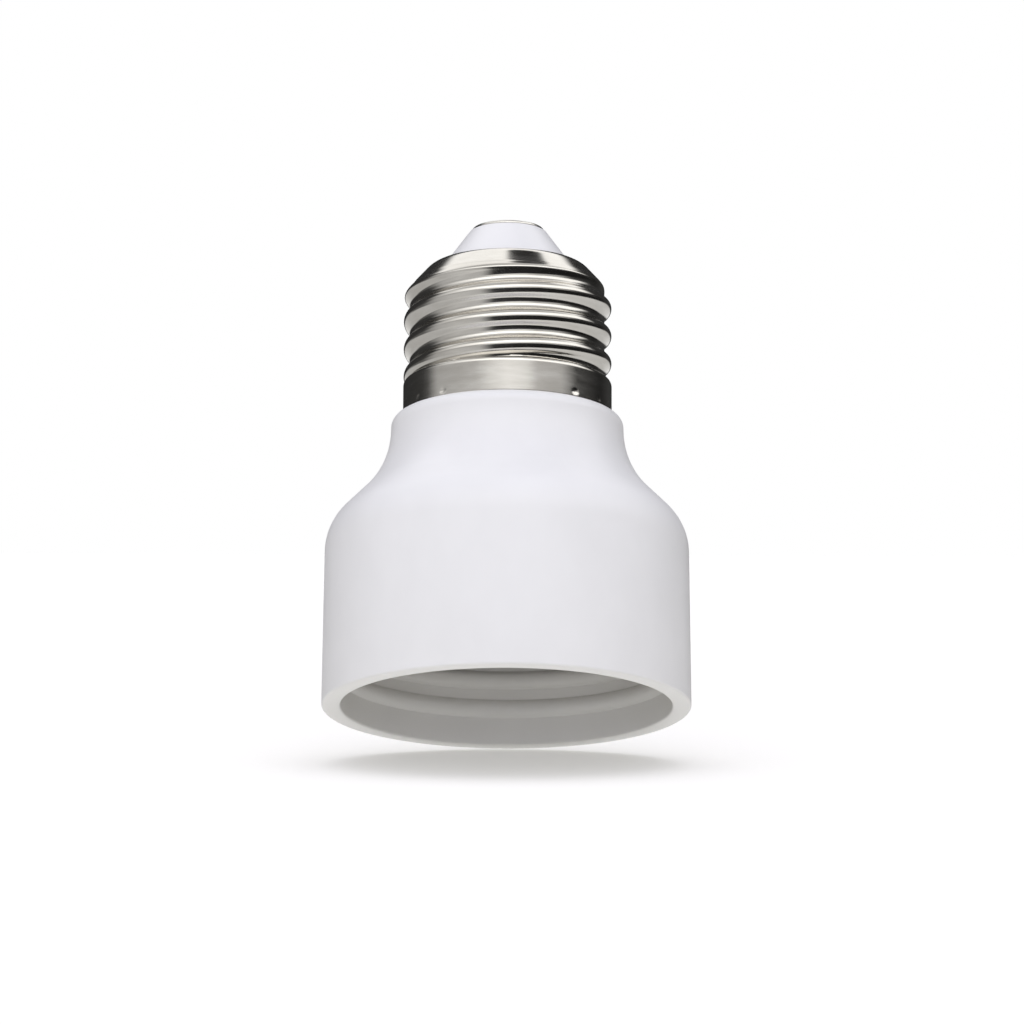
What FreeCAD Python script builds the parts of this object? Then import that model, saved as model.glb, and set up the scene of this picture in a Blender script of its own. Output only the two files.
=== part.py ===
import FreeCAD, Part

import math
import os
import sys

import Sketcher

# Lamp socket adapter: a bell-shaped moulded housing with a medium screw cap on top
# and a mogul screw socket inside its mouth. It stands on its rim, with the origin at
# the centre of the rim's plane and +Z up through the cap's tip contact.
# Millimetres and degrees.

DOC = FreeCAD.newDocument("LampSocketAdapter")
STATE_FAULTS = ("Invalid", "Error")


class Size:
    """A dimension as a number and as the sheet expression that gives it."""

    def __init__(self, value, text):
        self.value = value
        self.text = text

    def __add__(self, other):
        other = as_size(other)
        return Size(self.value + other.value, f"({self.text} + {other.text})")

    def __sub__(self, other):
        other = as_size(other)
        return Size(self.value - other.value, f"({self.text} - {other.text})")

    def __mul__(self, other):
        other = as_size(other)
        return Size(self.value * other.value, f"({self.text} * {other.text})")

    def __truediv__(self, other):
        other = as_size(other)
        return Size(self.value / other.value, f"({self.text} / {other.text})")


def as_size(thing):
    """A plain number as a Size."""
    if isinstance(thing, Size):
        return thing
    return Size(float(thing), f"{thing:.10g}")


def sine(angle):
    """Sine of an angle in degrees."""
    return Size(math.sin(math.radians(angle.value)), f"sin({angle.text})")


def cosine(angle):
    """Cosine of an angle in degrees."""
    return Size(math.cos(math.radians(angle.value)), f"cos({angle.text})")


def root(square):
    """Square root."""
    return Size(math.sqrt(square.value), f"sqrt({square.text})")


# Driving dimensions

# Mogul thread of the socket inside the mouth
MOGUL_MAJOR_RADIUS = 19.9
MOGUL_THREAD_DEPTH = 1.8
MOGUL_PITCH = 6.35
MOGUL_SHEET = 0.45
MOGUL_TURNS = 1.6
MOGUL_SEAT = 0.35
MOGUL_SHELL_GAP = 0.45

# Housing
WALL = 2.1
RIM_DRAFT = 0.3
RIM_ROUND = 0.3
LIP_ROUND = 0.5
WALL_HEIGHT = 19.9
SHOULDER_ROUND = 7.27
SHOULDER_ANGLE = 45
NECK_CURVE = 11.8
HEAD_ROUND = 1.5
NECK_RISE = 1.601
HEAD_WALL = 2.4
BEAD_RISE = 0.8
BEAD_WIDTH = 2.4
BEAD_HEIGHT = 3.5
BEAD_SPACING = 3.75
CAVITY_RADIUS = 7.0
CAVITY_TAPER = 5.0
TIP_RISE = 4.6
TIP_RADIUS = 5.45
TIP_ROUND = 0.35
TIP_BASE_RADIUS = 8.8
TIP_WALL = 4.45

# Medium screw cap
CAP_RADIUS = 13.2
CAP_THREAD_DEPTH = 0.95
CAP_PITCH = 3.629
CAP_SHEET = 0.35
CAP_COLLAR = 4.3
CAP_RUN_ON_TURNS = 0.5
CAP_HOLLOW_LAG_TURNS = 0.75
CAP_SHOULDER_HEIGHT = 17.0
CAP_DOME = 2.75
CAP_DOME_ROUND = 1.6
CAP_DOME_LEAN = 42
CAP_CLEARANCE = 0.15
HOLE_CLEARANCE = 0.05
RIDGE_SHARE = 0.78
RIDGE_ROOT = 0.12

# Tip contact
CONTACT_RADIUS = 4.7
CONTACT_THICKNESS = 0.5
STEM_RADIUS = 1.5
STEM_CLEARANCE = 0.1
CLENCH_RADIUS = 2.4
CLENCH_THICKNESS = 0.45

# Contact carrier and its screws
CARRIER_THICKNESS = 2.4
CARRIER_CLEARANCE = 0.4
CARRIER_BOSS = 4.3
BOSS_CLEARANCE = 0.3
SCREW_RADIUS = 0.95
SCREW_CLEARANCE = 0.1
PILOT_CLEARANCE = 0.02
SCREW_LENGTH = 7.0
SCREW_INSET = 2.2
SCREW_HEAD_RADIUS = 1.5
SCREW_HEAD_THICKNESS = 1.2
SCREW_HEAD_CLEARANCE = 0.15
SCREW_SLOT_WIDTH = 0.5
SCREW_SLOT_DEPTH = 0.5

# Sprung socket contact
GUIDE_BORE = 3.8
GUIDE_SHEET = 0.35
GUIDE_CLEARANCE = 0.05
GUIDE_STAND = 0.25
GUIDE_LIP_RADIUS = 3.15
GUIDE_FLANGE = 5.4
BUTTON_CLEARANCE = 0.1
BUTTON_REACH = 1.8
BUTTON_DOME = 0.9
BUTTON_SHOULDER = 1.0
BUTTON_SPIGOT_RADIUS = 2.2
BUTTON_SPIGOT_RISE = 1.15
SPRING_WIRE = 0.45
SPRING_RADIUS = 2.95
SPRING_TURNS = 5

# Live lead and its terminal
TERMINAL_THICKNESS = 0.5
POST_RADIUS = 1.3
POST_RISE = 1.6
POST_OFFSET = 2.6
LEAD_RADIUS = 0.9
LEAD_SLANT = 4.75
LEAD_BEND = 9.2

# Neutral strap
STRAP_WIDTH = 4.5
STRAP_THICKNESS = 0.4
STRAP_CLEARANCE = 0.1
STRAP_EDGE_GAP = 0.03
STRAP_TAB = 2.8
STRAP_RISE = 10.0
STRAP_BEND = 0.25


# Sheet of driving dimensions

SHEET = DOC.addObject("Spreadsheet::Sheet", "Sizes")
FIRST_ROW = 1


def driving(alias, number):
    """Put one number in the sheet under its alias and hand it back as a Size."""
    row = FIRST_ROW + len(driving.aliases)
    driving.aliases.append(alias)
    SHEET.set(f"A{row}", alias)
    SHEET.set(f"B{row}", str(number))
    SHEET.setAlias(f"B{row}", alias)
    return Size(float(number), f"Sizes.{alias}")


driving.aliases = []

# Mogul thread of the socket inside the mouth
mogul_major = driving("mogul_major_radius", MOGUL_MAJOR_RADIUS)
mogul_depth = driving("mogul_thread_depth", MOGUL_THREAD_DEPTH)
mogul_pitch = driving("mogul_pitch", MOGUL_PITCH)
mogul_sheet = driving("mogul_sheet", MOGUL_SHEET)
mogul_turns = driving("mogul_turns", MOGUL_TURNS)
mogul_seat = driving("mogul_seat", MOGUL_SEAT)
mogul_gap = driving("mogul_shell_gap", MOGUL_SHELL_GAP)

# Housing
wall = driving("wall", WALL)
rim_draft = driving("rim_draft", RIM_DRAFT)
rim_round = driving("rim_round", RIM_ROUND)
lip_round = driving("lip_round", LIP_ROUND)
wall_height = driving("wall_height", WALL_HEIGHT)
shoulder_round = driving("shoulder_round", SHOULDER_ROUND)
shoulder_angle = driving("shoulder_angle", SHOULDER_ANGLE)
neck_curve = driving("neck_curve", NECK_CURVE)
head_round = driving("head_round", HEAD_ROUND)
neck_rise = driving("neck_rise", NECK_RISE)
head_wall = driving("head_wall", HEAD_WALL)
bead_rise = driving("bead_rise", BEAD_RISE)
bead_width = driving("bead_width", BEAD_WIDTH)
bead_height = driving("bead_height", BEAD_HEIGHT)
bead_spacing = driving("bead_spacing", BEAD_SPACING)
cavity_radius = driving("cavity_radius", CAVITY_RADIUS)
cavity_taper = driving("cavity_taper", CAVITY_TAPER)
tip_rise = driving("tip_rise", TIP_RISE)
tip_radius = driving("tip_radius", TIP_RADIUS)
tip_round = driving("tip_round", TIP_ROUND)
tip_base = driving("tip_base_radius", TIP_BASE_RADIUS)
tip_wall = driving("tip_wall", TIP_WALL)

# Medium screw cap
cap_radius = driving("cap_radius", CAP_RADIUS)
cap_depth = driving("cap_thread_depth", CAP_THREAD_DEPTH)
cap_pitch = driving("cap_pitch", CAP_PITCH)
cap_sheet = driving("cap_sheet", CAP_SHEET)
cap_collar = driving("cap_collar", CAP_COLLAR)
cap_run_on = driving("cap_run_on_turns", CAP_RUN_ON_TURNS)
cap_hollow_lag = driving("cap_hollow_lag_turns", CAP_HOLLOW_LAG_TURNS)
cap_shoulder = driving("cap_shoulder_height", CAP_SHOULDER_HEIGHT)
cap_dome = driving("cap_dome", CAP_DOME)
cap_dome_round = driving("cap_dome_round", CAP_DOME_ROUND)
cap_dome_lean = driving("cap_dome_lean", CAP_DOME_LEAN)
cap_clearance = driving("cap_clearance", CAP_CLEARANCE)
hole_clearance = driving("hole_clearance", HOLE_CLEARANCE)
ridge_width = driving("ridge_share", RIDGE_SHARE)
ridge_root = driving("ridge_root", RIDGE_ROOT)

# Tip contact
contact_radius = driving("contact_radius", CONTACT_RADIUS)
contact_thickness = driving("contact_thickness", CONTACT_THICKNESS)
stem_radius = driving("stem_radius", STEM_RADIUS)
stem_clearance = driving("stem_clearance", STEM_CLEARANCE)
clench_radius = driving("clench_radius", CLENCH_RADIUS)
clench_thickness = driving("clench_thickness", CLENCH_THICKNESS)

# Contact carrier and its screws
carrier_thickness = driving("carrier_thickness", CARRIER_THICKNESS)
carrier_clearance = driving("carrier_clearance", CARRIER_CLEARANCE)
carrier_boss = driving("carrier_boss", CARRIER_BOSS)
boss_clearance = driving("boss_clearance", BOSS_CLEARANCE)
screw_radius = driving("screw_radius", SCREW_RADIUS)
screw_clearance = driving("screw_clearance", SCREW_CLEARANCE)
pilot_clearance = driving("pilot_clearance", PILOT_CLEARANCE)
screw_length = driving("screw_length", SCREW_LENGTH)
screw_inset = driving("screw_inset", SCREW_INSET)
head_radius = driving("screw_head_radius", SCREW_HEAD_RADIUS)
head_thickness = driving("screw_head_thickness", SCREW_HEAD_THICKNESS)
head_clearance = driving("screw_head_clearance", SCREW_HEAD_CLEARANCE)
slot_width = driving("screw_slot_width", SCREW_SLOT_WIDTH)
slot_depth = driving("screw_slot_depth", SCREW_SLOT_DEPTH)

# Sprung socket contact
guide_bore = driving("guide_bore", GUIDE_BORE)
guide_sheet = driving("guide_sheet", GUIDE_SHEET)
guide_clearance = driving("guide_clearance", GUIDE_CLEARANCE)
guide_stand = driving("guide_stand", GUIDE_STAND)
guide_lip = driving("guide_lip_radius", GUIDE_LIP_RADIUS)
guide_flange = driving("guide_flange", GUIDE_FLANGE)
button_clearance = driving("button_clearance", BUTTON_CLEARANCE)
button_reach = driving("button_reach", BUTTON_REACH)
button_dome = driving("button_dome", BUTTON_DOME)
button_shoulder = driving("button_shoulder", BUTTON_SHOULDER)
button_spigot = driving("button_spigot_radius", BUTTON_SPIGOT_RADIUS)
button_spigot_rise = driving("button_spigot_rise", BUTTON_SPIGOT_RISE)
spring_wire = driving("spring_wire", SPRING_WIRE)
spring_radius = driving("spring_radius", SPRING_RADIUS)
spring_turns = driving("spring_turns", SPRING_TURNS)

# Live lead and its terminal
terminal_thickness = driving("terminal_thickness", TERMINAL_THICKNESS)
post_radius = driving("post_radius", POST_RADIUS)
post_rise = driving("post_rise", POST_RISE)
post_offset = driving("post_offset", POST_OFFSET)
lead_radius = driving("lead_radius", LEAD_RADIUS)
lead_slant = driving("lead_slant", LEAD_SLANT)
lead_bend = driving("lead_bend", LEAD_BEND)

# Neutral strap
strap_width = driving("strap_width", STRAP_WIDTH)
strap_thickness = driving("strap_thickness", STRAP_THICKNESS)
strap_clearance = driving("strap_clearance", STRAP_CLEARANCE)
strap_edge_gap = driving("strap_edge_gap", STRAP_EDGE_GAP)
strap_tab = driving("strap_tab", STRAP_TAB)
strap_rise = driving("strap_rise", STRAP_RISE)
strap_bend = driving("strap_bend", STRAP_BEND)

DOC.recompute()

# Places worked out from the driving dimensions

ZERO = as_size(0)
bore_radius = mogul_major + mogul_sheet + mogul_gap
wall_radius = bore_radius + wall
neck_radius = cap_radius + head_round
rim_radius = wall_radius + rim_draft
turned_share = as_size(1) - cosine(shoulder_angle)
slope_drop = wall_radius - neck_radius - (shoulder_round + neck_curve) * turned_share
slope_rise = slope_drop * cosine(shoulder_angle) / sine(shoulder_angle)
slope_top_r = neck_radius + neck_curve * turned_share
slope_top_z = wall_height + shoulder_round * sine(shoulder_angle) + slope_rise
curve_centre_r = neck_radius + neck_curve
curve_centre_z = slope_top_z + neck_curve * sine(shoulder_angle)
head_height = curve_centre_z + neck_rise
floor_height = head_height - head_wall
screw_circle = cavity_radius + screw_inset
mogul_foot = bead_height + bead_spacing + bead_width + mogul_seat

carrier_face = floor_height - mogul_sheet
carrier_foot = carrier_face - carrier_thickness
boss_top = carrier_face + carrier_boss
guide_foot = carrier_foot - guide_stand
terminal_face = boss_top + guide_sheet
post_top = terminal_face + terminal_thickness + post_rise
button_seat = guide_foot + guide_sheet
button_back = button_seat + button_shoulder
button_tip = guide_foot - button_reach

cap_minor = cap_radius - cap_depth
cap_shoulder_z = head_height + cap_shoulder
cap_turns = (cap_shoulder - cap_collar) / cap_pitch + cap_run_on
cap_hollow_turns = cap_turns - cap_hollow_lag
cap_top_z = cap_shoulder_z + cap_dome
tip_height = cap_top_z + tip_rise
dome_centre_z = cap_top_z - cap_dome_round
dome_foot_z = dome_centre_z + cap_dome_round * sine(cap_dome_lean)
dome_lean_in = (dome_foot_z - cap_shoulder_z) * sine(cap_dome_lean) / cosine(cap_dome_lean)
dome_centre_r = cap_minor - dome_lean_in - cap_dome_round * cosine(cap_dome_lean)
ledge_z = cap_top_z - cap_sheet - cap_clearance * 2
cap_hole = tip_base + hole_clearance
spigot_radius = cap_minor - cap_sheet - cap_clearance
cavity_top = tip_height - tip_wall
cavity_height = cavity_top - cavity_taper


def inset_r(inset, z):
    """Radius, at height z, of the neck's concave curve moved inwards by an inset."""
    reach = neck_curve + inset
    rise = curve_centre_z - z
    return curve_centre_r - root(reach * reach - rise * rise)


def slope_point(inset):
    """Point where the straight slope, moved inwards by an inset, meets the neck's curve."""
    reach = neck_curve + inset
    return (
        curve_centre_r - reach * cosine(shoulder_angle),
        curve_centre_z - reach * sine(shoulder_angle),
    )


def slope_z(inset, r):
    """Height at which the straight slope, moved inwards by an inset, has radius r."""
    foot_r, foot_z = slope_point(inset)
    return foot_z - (r - foot_r) * cosine(shoulder_angle) / sine(shoulder_angle)


# Sketch and feature helpers

ENTRY, EXIT = 1, 2
ORIGIN_X_AXIS, ORIGIN_Y_AXIS = -1, -2
LEFT, RIGHT = 1, -1


def new_body(label):
    """A named body; its label is the node's name."""
    body = DOC.addObject("PartDesign::Body", label)
    body.Label = label
    body.Placement = FreeCAD.Placement()
    return body


def new_sketch(body, name, role="XZ_Plane", height=None):
    """A sketch on one of the body's own planes, raised by a height if one is given."""
    sketch = body.newObject("Sketcher::SketchObject", name)
    plane = next(f for f in body.Origin.OriginFeatures if f.Role == role)
    sketch.AttachmentSupport = [(plane, "")]
    sketch.MapMode = "FlatFace"
    if height is not None:
        sketch.AttachmentOffset = FreeCAD.Placement(
            FreeCAD.Vector(0, 0, height.value), FreeCAD.Rotation()
        )
        sketch.setExpression("AttachmentOffset.Base.z", height.text)
    return sketch


def bind(sketch, kind, size, *where):
    """Add a constraint whose value comes from the sheet."""
    index = sketch.addConstraint(Sketcher.Constraint(kind, *where, size.value))
    sketch.setExpression(f"Constraints[{index}]", size.text)


def hold_point(sketch, geometry, point, x, y):
    """Hold a point of a sketch at x, y."""
    for kind, axis, size in (
        ("DistanceX", ORIGIN_Y_AXIS, x),
        ("DistanceY", ORIGIN_X_AXIS, y),
    ):
        if size is ZERO:
            sketch.addConstraint(
                Sketcher.Constraint("PointOnObject", geometry, point, axis)
            )
        else:
            bind(sketch, kind, size, geometry, point)


def arc_between(start, end, radius, side):
    """The arc from start to end whose centre lies to the left or right of the way."""
    chord = end - start
    to_centre = FreeCAD.Vector(-chord.y, chord.x, 0).normalize() * side
    away = math.sqrt(radius**2 - (chord.Length / 2) ** 2)
    centre = start + chord / 2 + to_centre * away
    first, last = (start, end) if side == LEFT else (end, start)
    angles = [math.atan2((p - centre).y, (p - centre).x) for p in (first, last)]
    circle = Part.Circle(centre, FreeCAD.Vector(0, 0, 1), radius)
    return Part.ArcOfCircle(circle, *angles)


def draw(sketch, corners, closed=True):
    """Draw an outline. Each corner is (x, y), or (x, y, radius, side) where an arc arrives."""
    count = len(corners)
    spots = [FreeCAD.Vector(c[0].value, c[1].value, 0) for c in corners]
    ends = []
    steps = range(1, count + 1) if closed else range(1, count)
    for step in steps:
        corner = corners[step % count]
        start, end = spots[step - 1], spots[step % count]
        if len(corner) == 2:
            index = sketch.addGeometry(Part.LineSegment(start, end), False)
            ends.append((index, ENTRY, EXIT))
            continue
        radius, side = corner[2], corner[3]
        index = sketch.addGeometry(arc_between(start, end, radius.value, side), False)
        ends.append((index, ENTRY, EXIT) if side == LEFT else (index, EXIT, ENTRY))
        bind(sketch, "Radius", radius, index)
    for before, after in zip(ends, ends[1:] + ends[:1] if closed else ends[1:]):
        sketch.addConstraint(
            Sketcher.Constraint("Coincident", before[0], before[2], after[0], after[1])
        )
    for (index, entry, _), corner in zip(ends, corners):
        hold_point(sketch, index, entry, corner[0], corner[1])
    if not closed:
        index, _, leave = ends[-1]
        hold_point(sketch, index, leave, corners[-1][0], corners[-1][1])
    return sketch


def draw_circle(sketch, x, y, radius):
    """Draw a circle at x, y."""
    spot = FreeCAD.Vector(x.value, y.value, 0)
    circle = Part.Circle(spot, FreeCAD.Vector(0, 0, 1), radius.value)
    index = sketch.addGeometry(circle, False)
    hold_point(sketch, index, 3, x, y)
    bind(sketch, "Radius", radius, index)
    return sketch


def finish_feature(feature, **settings):
    """Give a feature its settings and recompute the document."""
    for name, setting in settings.items():
        if isinstance(setting, Size):
            setattr(feature, name, setting.value)
            feature.setExpression(name, setting.text)
        else:
            setattr(feature, name, setting)
    DOC.recompute()
    return feature


def turned(body, name, corners, cut=False):
    """Turn an outline of radius and height about the body's Z axis, to add or to cut."""
    sketch = draw(new_sketch(body, f"{name}_outline"), corners)
    kind = "PartDesign::Groove" if cut else "PartDesign::Revolution"
    feature = body.newObject(kind, name)
    return finish_feature(
        feature, Profile=sketch, ReferenceAxis=(sketch, ["V_Axis"]), Angle=360
    )


def coiled(body, name, sketch, pitch, turns, cut=False):
    """Sweep a section along a right-hand helix about Z, to add or to cut."""
    kind = "SubtractiveHelix" if cut else "AdditiveHelix"
    feature = body.newObject(f"PartDesign::{kind}", name)
    return finish_feature(
        feature,
        Profile=sketch,
        ReferenceAxis=(sketch, ["V_Axis"]),
        Mode="pitch-turns-angle",
        Pitch=pitch,
        Turns=turns,
        Angle=0,
    )


def bow_radius(half_chord, rise):
    """Radius of the arc that rises by so much over a chord."""
    return (half_chord * half_chord + rise * rise) / (rise * 2)


def thread_section(body, name, root_r, crest_r, half, crest_z, side):
    """Section of a rounded thread ridge: a bow from root to crest, closed at its root."""
    rise = crest_r - root_r if crest_r.value > root_r.value else root_r - crest_r
    radius = bow_radius(half, rise)
    corners = [
        (root_r, crest_z - half),
        (crest_r, crest_z, radius, side),
        (root_r, crest_z + half, radius, side),
    ]
    return draw(new_sketch(body, name), corners)


# Sub-parts


def bead_corners(height):
    """Corners of one rounded bead on the mouth's bore, from its top down to its foot."""
    radius = bow_radius(bead_width / 2, bead_rise)
    return [
        (bore_radius, height + bead_width),
        (bore_radius - bead_rise, height + bead_width / 2, radius, LEFT),
        (bore_radius, height, radius, LEFT),
    ]


def make_housing():
    """The moulded bell, with its hollow spigot and the tip that carries the contact."""
    body = new_body("housing")
    slope_foot_r, slope_foot_z = slope_point(wall)
    corners = [
        (bore_radius, lip_round),
        (bore_radius + lip_round, ZERO, lip_round, LEFT),
        (rim_radius - rim_round, ZERO),
        (rim_radius, rim_round, rim_round, LEFT),
        (wall_radius, wall_height),
        (
            wall_radius - shoulder_round * turned_share,
            wall_height + shoulder_round * sine(shoulder_angle),
            shoulder_round,
            LEFT,
        ),
        (slope_top_r, slope_top_z),
        (neck_radius, curve_centre_z, neck_curve, RIGHT),
        (neck_radius, head_height - head_round),
        (cap_radius, head_height, head_round, LEFT),
        (spigot_radius, head_height),
        (spigot_radius, cap_shoulder_z - cap_clearance * 4),
        (dome_centre_r + cap_clearance, ledge_z),
        (tip_base, ledge_z),
        (tip_radius, tip_height - tip_round),
        (tip_radius - tip_round, tip_height, tip_round, LEFT),
        (stem_radius + stem_clearance, tip_height),
        (stem_radius + stem_clearance, cavity_top),
        (clench_radius + strap_thickness, cavity_top),
        (cavity_radius, cavity_height),
        (cavity_radius, floor_height),
        (inset_r(wall, floor_height), floor_height),
        (slope_foot_r, slope_foot_z, neck_curve + wall, LEFT),
        (bore_radius, slope_z(wall, bore_radius)),
    ]
    corners += bead_corners(bead_height + bead_spacing)
    corners += bead_corners(bead_height)
    turned(body, "moulding", corners)

    pilots = new_sketch(body, "pilot_places", "XY_Plane", floor_height)
    for way in (1, -1):
        draw_circle(pilots, screw_circle * way, ZERO, screw_radius + pilot_clearance)
    finish_feature(
        body.newObject("PartDesign::Pocket", "pilot_holes"),
        Profile=pilots,
        Reversed=True,
        Length=screw_length - head_seat_depth() - mogul_sheet + pilot_clearance * 20,
    )

    inner_y, outer_y = strap_places()
    channel = new_sketch(body, "strap_channel_outline", "YZ_Plane")
    draw(
        channel,
        [
            (cavity_radius - wall, floor_height),
            (outer_y + strap_clearance, floor_height),
            (outer_y + strap_clearance, head_height),
            (cap_radius, head_height),
            (cap_radius, floor_height + strap_rise + strap_clearance * 5),
            (inner_y - strap_bend, floor_height + strap_rise + strap_clearance * 5),
            (inner_y - strap_bend, floor_height + strap_thickness),
            (cavity_radius - wall, floor_height + strap_thickness),
        ],
    )
    finish_feature(
        body.newObject("PartDesign::Pocket", "strap_channel"),
        Profile=channel,
        Midplane=True,
        Length=strap_width + strap_clearance * 4,
    )
    return body


def dome_outline(inset):
    """Corners of the cap's coned shoulder and its rounded top, moved inwards by an inset."""
    turn_share = sine(cap_dome_lean) / (cosine(cap_dome_lean) + 1)
    radius = cap_dome_round - inset
    shoulder = (cap_minor - inset, cap_shoulder_z - inset * turn_share)
    cone_top = (
        dome_centre_r + radius * cosine(cap_dome_lean),
        dome_centre_z + radius * sine(cap_dome_lean),
    )
    return shoulder, cone_top, (dome_centre_r, cap_top_z - inset), (cap_hole, cap_top_z - inset)


def make_screw_cap():
    """The rolled sheet cap: plain collar, knuckle thread and domed shoulder."""
    body = new_body("e27_screw_shell")
    foot, collar_top = head_height, head_height + cap_collar
    inner = cap_radius - cap_sheet
    shoulder, cone_top, flat, hole = dome_outline(ZERO)
    under_shoulder, under_cone_top, under_flat, under_hole = dome_outline(cap_sheet)
    outside = [
        (cap_radius, collar_top),
        (cap_minor, collar_top + cap_depth / 2),
        shoulder,
        cone_top,
        (*flat, cap_dome_round, LEFT),
        hole,
    ]
    step_top = collar_top + cap_depth / 2 - cap_sheet / 2
    step_foot = collar_top - cap_sheet / 2
    corners = [(inner, foot), (cap_radius, foot)] + outside
    corners += [
        under_hole,
        under_flat,
        (*under_cone_top, cap_dome_round - cap_sheet, RIGHT),
        under_shoulder,
        (cap_minor - cap_sheet, step_top),
        (inner, step_foot),
    ]
    turned(body, "sheet", corners)

    half = cap_pitch * ridge_width / 2
    first_crest = collar_top - half * 0.6
    ridge = thread_section(
        body, "ridge_section", cap_minor - ridge_root, cap_radius, half, first_crest, LEFT
    )
    coiled(body, "ridge", ridge, cap_pitch, cap_turns)
    hollow = thread_section(
        body,
        "hollow_section",
        cap_minor - cap_sheet - ridge_root * 2,
        inner,
        half - cap_sheet * 0.6,
        first_crest,
        LEFT,
    )
    coiled(body, "hollow", hollow, cap_pitch, cap_hollow_turns, cut=True)

    clear = cap_minor - cap_sheet * 3
    turned(
        body,
        "collar_bore",
        [
            (clear, foot - cap_sheet),
            (inner, foot - cap_sheet),
            (inner, step_foot),
            (cap_minor - cap_sheet, step_top),
            (clear, step_top),
        ],
        cut=True,
    )
    turned(
        body,
        "thread_run_out",
        [
            shoulder,
            (cap_radius + cap_sheet, cap_shoulder_z - cap_depth - cap_sheet),
            (cap_radius + cap_sheet, cap_top_z + cap_sheet),
            (cap_hole, cap_top_z + cap_sheet),
            hole,
            flat,
            (*cone_top, cap_dome_round, RIGHT),
        ],
        cut=True,
    )
    return body


def make_mogul_shell():
    """The socket's rolled sheet shell: threaded barrel, tapered neck and inward flange."""
    body = new_body("e40_screw_shell")
    outer_inset = wall + mogul_gap
    inner_inset = outer_inset + mogul_sheet
    outer_r, inner_r = mogul_major + mogul_sheet, mogul_major
    flange_hole = cavity_radius
    outer_slope = slope_point(outer_inset)
    inner_slope = slope_point(inner_inset)
    corners = [
        (inner_r, mogul_foot),
        (outer_r, mogul_foot),
        (outer_r, slope_z(outer_inset, outer_r)),
        outer_slope,
        (
            inset_r(outer_inset, floor_height),
            floor_height,
            neck_curve + outer_inset,
            RIGHT,
        ),
        (flange_hole, floor_height),
        (flange_hole, carrier_face),
        (inset_r(inner_inset, carrier_face), carrier_face),
        (inner_slope[0], inner_slope[1], neck_curve + inner_inset, LEFT),
        (inner_r, slope_z(inner_inset, inner_r)),
    ]
    turned(body, "sheet", corners)

    half = mogul_pitch * ridge_width / 2
    top_crest = slope_z(outer_inset, outer_r) - half
    first_crest = top_crest - mogul_pitch * mogul_turns
    crest = mogul_major - mogul_depth
    ridge = thread_section(
        body, "ridge_section", inner_r + ridge_root, crest, half, first_crest, RIGHT
    )
    coiled(body, "ridge", ridge, mogul_pitch, mogul_turns)
    hollow = thread_section(
        body,
        "hollow_section",
        outer_r + ridge_root,
        crest + mogul_sheet,
        half - mogul_sheet * 0.6,
        first_crest,
        RIGHT,
    )
    coiled(body, "hollow", hollow, mogul_pitch, mogul_turns, cut=True)
    turned(
        body,
        "foot_face",
        [
            (crest - mogul_sheet, mogul_foot - mogul_pitch),
            (outer_r + mogul_sheet, mogul_foot - mogul_pitch),
            (outer_r + mogul_sheet, mogul_foot),
            (crest - mogul_sheet, mogul_foot),
        ],
        cut=True,
    )

    holes = new_sketch(body, "screw_places", "XY_Plane", floor_height)
    for way in (1, -1):
        draw_circle(holes, screw_circle * way, ZERO, screw_radius + screw_clearance)
    finish_feature(
        body.newObject("PartDesign::Pocket", "screw_holes"),
        Profile=holes,
        Reversed=False,
        Length=mogul_sheet * 2,
    )
    return body


def make_tip_contact():
    """The cap's flat tip contact, with its stem and the clench that holds it."""
    body = new_body("tip_contact")
    top = tip_height + contact_thickness
    edge = contact_thickness * 0.7
    turned(
        body,
        "rivet",
        [
            (ZERO, cavity_top - clench_thickness),
            (clench_radius, cavity_top - clench_thickness),
            (clench_radius, cavity_top),
            (stem_radius, cavity_top),
            (stem_radius, tip_height),
            (contact_radius, tip_height),
            (contact_radius, top - edge),
            (contact_radius - edge, top, edge, LEFT),
            (ZERO, top),
        ],
    )
    return body


def head_seat_depth():
    """Thickness of the carrier that is left above a screw head's pocket."""
    return carrier_thickness - head_thickness - head_clearance


def make_carrier():
    """The ceramic disc that insulates the contact and clamps the socket's shell."""
    body = new_body("contact_carrier")
    inner_inset = wall + mogul_gap + mogul_sheet
    rim = inset_r(inner_inset, carrier_face) - carrier_clearance
    boss = cavity_radius - boss_clearance
    bore = guide_bore + guide_sheet + guide_clearance
    turned(
        body,
        "disc",
        [
            (bore, carrier_foot),
            (rim, carrier_foot),
            (rim, carrier_face),
            (boss, carrier_face),
            (boss, boss_top),
            (bore, boss_top),
        ],
    )
    holes = new_sketch(body, "screw_places", "XY_Plane", carrier_foot)
    pockets = new_sketch(body, "head_places", "XY_Plane", carrier_foot)
    for way in (1, -1):
        draw_circle(holes, screw_circle * way, ZERO, screw_radius + screw_clearance)
        draw_circle(pockets, screw_circle * way, ZERO, head_radius + head_clearance)
    finish_feature(
        body.newObject("PartDesign::Pocket", "screw_holes"),
        Profile=holes,
        Reversed=True,
        Length=carrier_thickness * 2,
    )
    finish_feature(
        body.newObject("PartDesign::Pocket", "head_pockets"),
        Profile=pockets,
        Reversed=True,
        Length=head_thickness + head_clearance,
    )
    return body


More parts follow.
